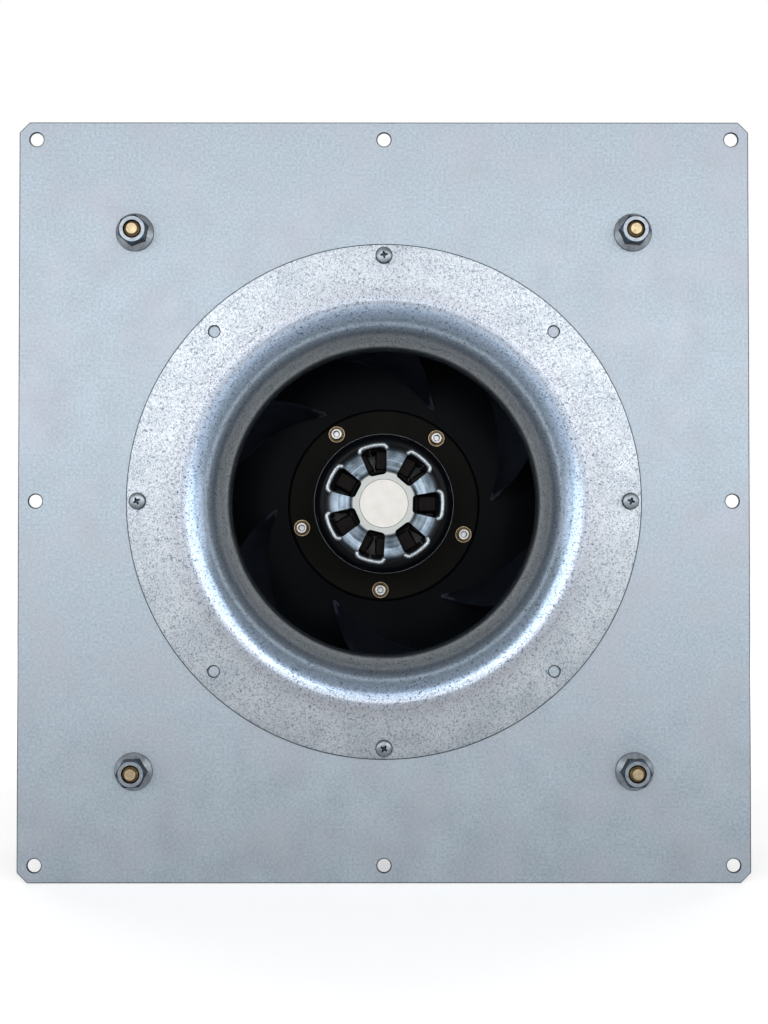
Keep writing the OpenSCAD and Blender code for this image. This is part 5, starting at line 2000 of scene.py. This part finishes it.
@dataclass
class Studio:
    """The camera, the lamps, the pale surroundings and the floor.

    Attributes:
        camera: the camera's place in metres.
        aim: the point that it looks at.
        lens: focal length in millimetres.
        sensor: width of the sensor in millimetres.
        fill: strength of the surroundings for everything but the view and reflections.
        floor_near: the floor's own light in the view beside the fan, which keeps the shadow.
        floor_far: its own light away from the lamps, which lifts it to the background's white.
        near: distance in metres up to which the first holds.
        far: distance in metres from which the second holds.
    """

    camera: Point = (-0.0012, -0.9, -0.0211)
    aim: Point = (0.0, 0.0, -0.0074)
    lens: float = 46.34
    sensor: float = 36.0
    fill: float = 0.32
    floor_near: float = 0.36
    floor_far: float = 0.78
    near: float = 0.4
    far: float = 1.5

    def set_camera(self) -> None:
        """Sets the camera at the photograph's angle."""
        data = bpy.data.cameras.new("studio_camera")
        data.lens = self.lens
        data.sensor_width = self.sensor
        camera = bpy.data.objects.new("studio_camera", data)
        bpy.context.scene.collection.objects.link(camera)
        camera.location = self.camera
        camera.rotation_euler = (Vector(self.aim) - camera.location).to_track_quat("-Z", "Y").to_euler()
        bpy.context.scene.camera = camera

    def lamp(self, name: str, place: Point, size: Point, power: float) -> None:
        """Adds a soft area lamp aimed at the fan.

        Args:
            name: name of the lamp.
            place: its place in metres.
            size: its width and height in metres.
            power: its power in watts.
        """
        data = bpy.data.lights.new(name, "AREA")
        data.shape = "RECTANGLE"
        data.size, data.size_y = size
        data.energy = power
        lamp = bpy.data.objects.new(name, data)
        bpy.context.scene.collection.objects.link(lamp)
        lamp.location = place
        lamp.rotation_euler = (-Vector(place)).to_track_quat("-Z", "Y").to_euler()

    def seen(self, tree: bpy.types.NodeTree) -> bpy.types.NodeSocket:
        """Tells the rays of the view and of reflections from the rest.

        Args:
            tree: the tree that asks.

        Returns:
            A socket that gives 1 for a ray from the camera, a reflection or a transmission, or else 0.
        """
        path = add(tree, "ShaderNodeLightPath")
        view = add(tree, "ShaderNodeMath", {
            0: path.outputs["Is Camera Ray"], 1: path.outputs["Is Glossy Ray"]
        }, operation="MAXIMUM")
        return add(tree, "ShaderNodeMath", {
            0: view.outputs[0], 1: path.outputs["Is Transmission Ray"]
        }, operation="MAXIMUM").outputs[0]

    def surround(self) -> None:
        """Makes the world white in the view and a plain soft fill elsewhere."""
        world = bpy.data.worlds.new("studio")
        bpy.context.scene.world = world
        world.use_nodes = True
        tree = world.node_tree
        tree.nodes.clear()
        strength = add(tree, "ShaderNodeMapRange", {
            "Value": self.seen(tree), "To Min": self.fill, "To Max": 1.0
        })
        light = add(tree, "ShaderNodeBackground", {
            "Color": linear("#ffffff"), "Strength": strength.outputs["Result"]
        })
        add(tree, "ShaderNodeOutputWorld", {"Surface": light.outputs["Background"]})

    def lay_floor(self) -> None:
        """Lays a pale floor under the plate's lower edge."""
        Workbench.drop_selection()
        bpy.ops.mesh.primitive_plane_add(size=12, location=(0, 0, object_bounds()[0].z))
        floor = bpy.context.object
        floor.name = "studio_floor"
        # Painted board, sprayed: an even white that takes a soft shadow
        material = bpy.data.materials.new("board_painted_white")
        material.use_nodes = True
        tree = material.node_tree
        tree.nodes.clear()
        lit = add(tree, "ShaderNodeBsdfDiffuse", {"Color": linear("#f4f4f4")})
        place = add(tree, "ShaderNodeTexCoord").outputs["Object"]
        distance = add(tree, "ShaderNodeVectorMath", {0: place}, operation="LENGTH")
        glow = add(tree, "ShaderNodeMapRange", {
            "Value": distance.outputs["Value"], "From Min": self.near, "From Max": self.far,
            "To Min": self.floor_near, "To Max": self.floor_far
        }, interpolation_type="SMOOTHSTEP")
        share = add(tree, "ShaderNodeMath", {
            0: self.seen(tree), 1: glow.outputs["Result"]
        }, operation="MULTIPLY")
        own = add(tree, "ShaderNodeEmission", {"Color": linear("#ffffff"), "Strength": share.outputs[0]})
        both = add(tree, "ShaderNodeAddShader", {0: lit.outputs["BSDF"], 1: own.outputs["Emission"]})
        add(tree, "ShaderNodeOutputMaterial", {"Surface": both.outputs["Shader"]})
        floor.data.materials.append(material)
        floor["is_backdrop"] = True

    def build(self) -> None:
        """Sets up the studio."""
        bpy.context.scene.view_settings.view_transform = "Standard"
        self.set_camera()
        self.lamp("lamp_top", (0.0, -1.4, 0.55), (0.9, 0.75), 3.2)
        self.lamp("lamp_centre", (0.0, -1.4, 0.09), (0.26, 0.12), 0.4)
        for side, name in ((-1, "left"), (1, "right")):
            self.lamp(f"lamp_{name}", (0.7 * side, -1.4, 0.3), (1.1, 0.8), 8.9)
            self.lamp(f"strip_{name}", (1.9 * side, -1.05, 0.2), (0.9, 0.78), 5.2)
            self.lamp(f"lamp_back_{name}", (1.1 * side, 1.3, 0.7), (1.0, 0.8), 8.0)
        self.surround()
        self.lay_floor()


def main() -> None:
    """Builds the fan's pieces from the plate to the electronics, then the studio."""
    logging.basicConfig(level=logging.INFO, format="%(message)s")
    shop = Paintshop()
    shop.dress_nodes()
    for assembly in (
        MountingPlate, InletNozzle, Fasteners, Impeller, RotorCup, SheetMetal, Spindle, Stator, Electronics
    ):
        LOG.info("building %s", assembly.__name__)
        assembly(shop).build()
    Studio().build()


if __name__ == "__main__":
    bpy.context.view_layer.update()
    main()
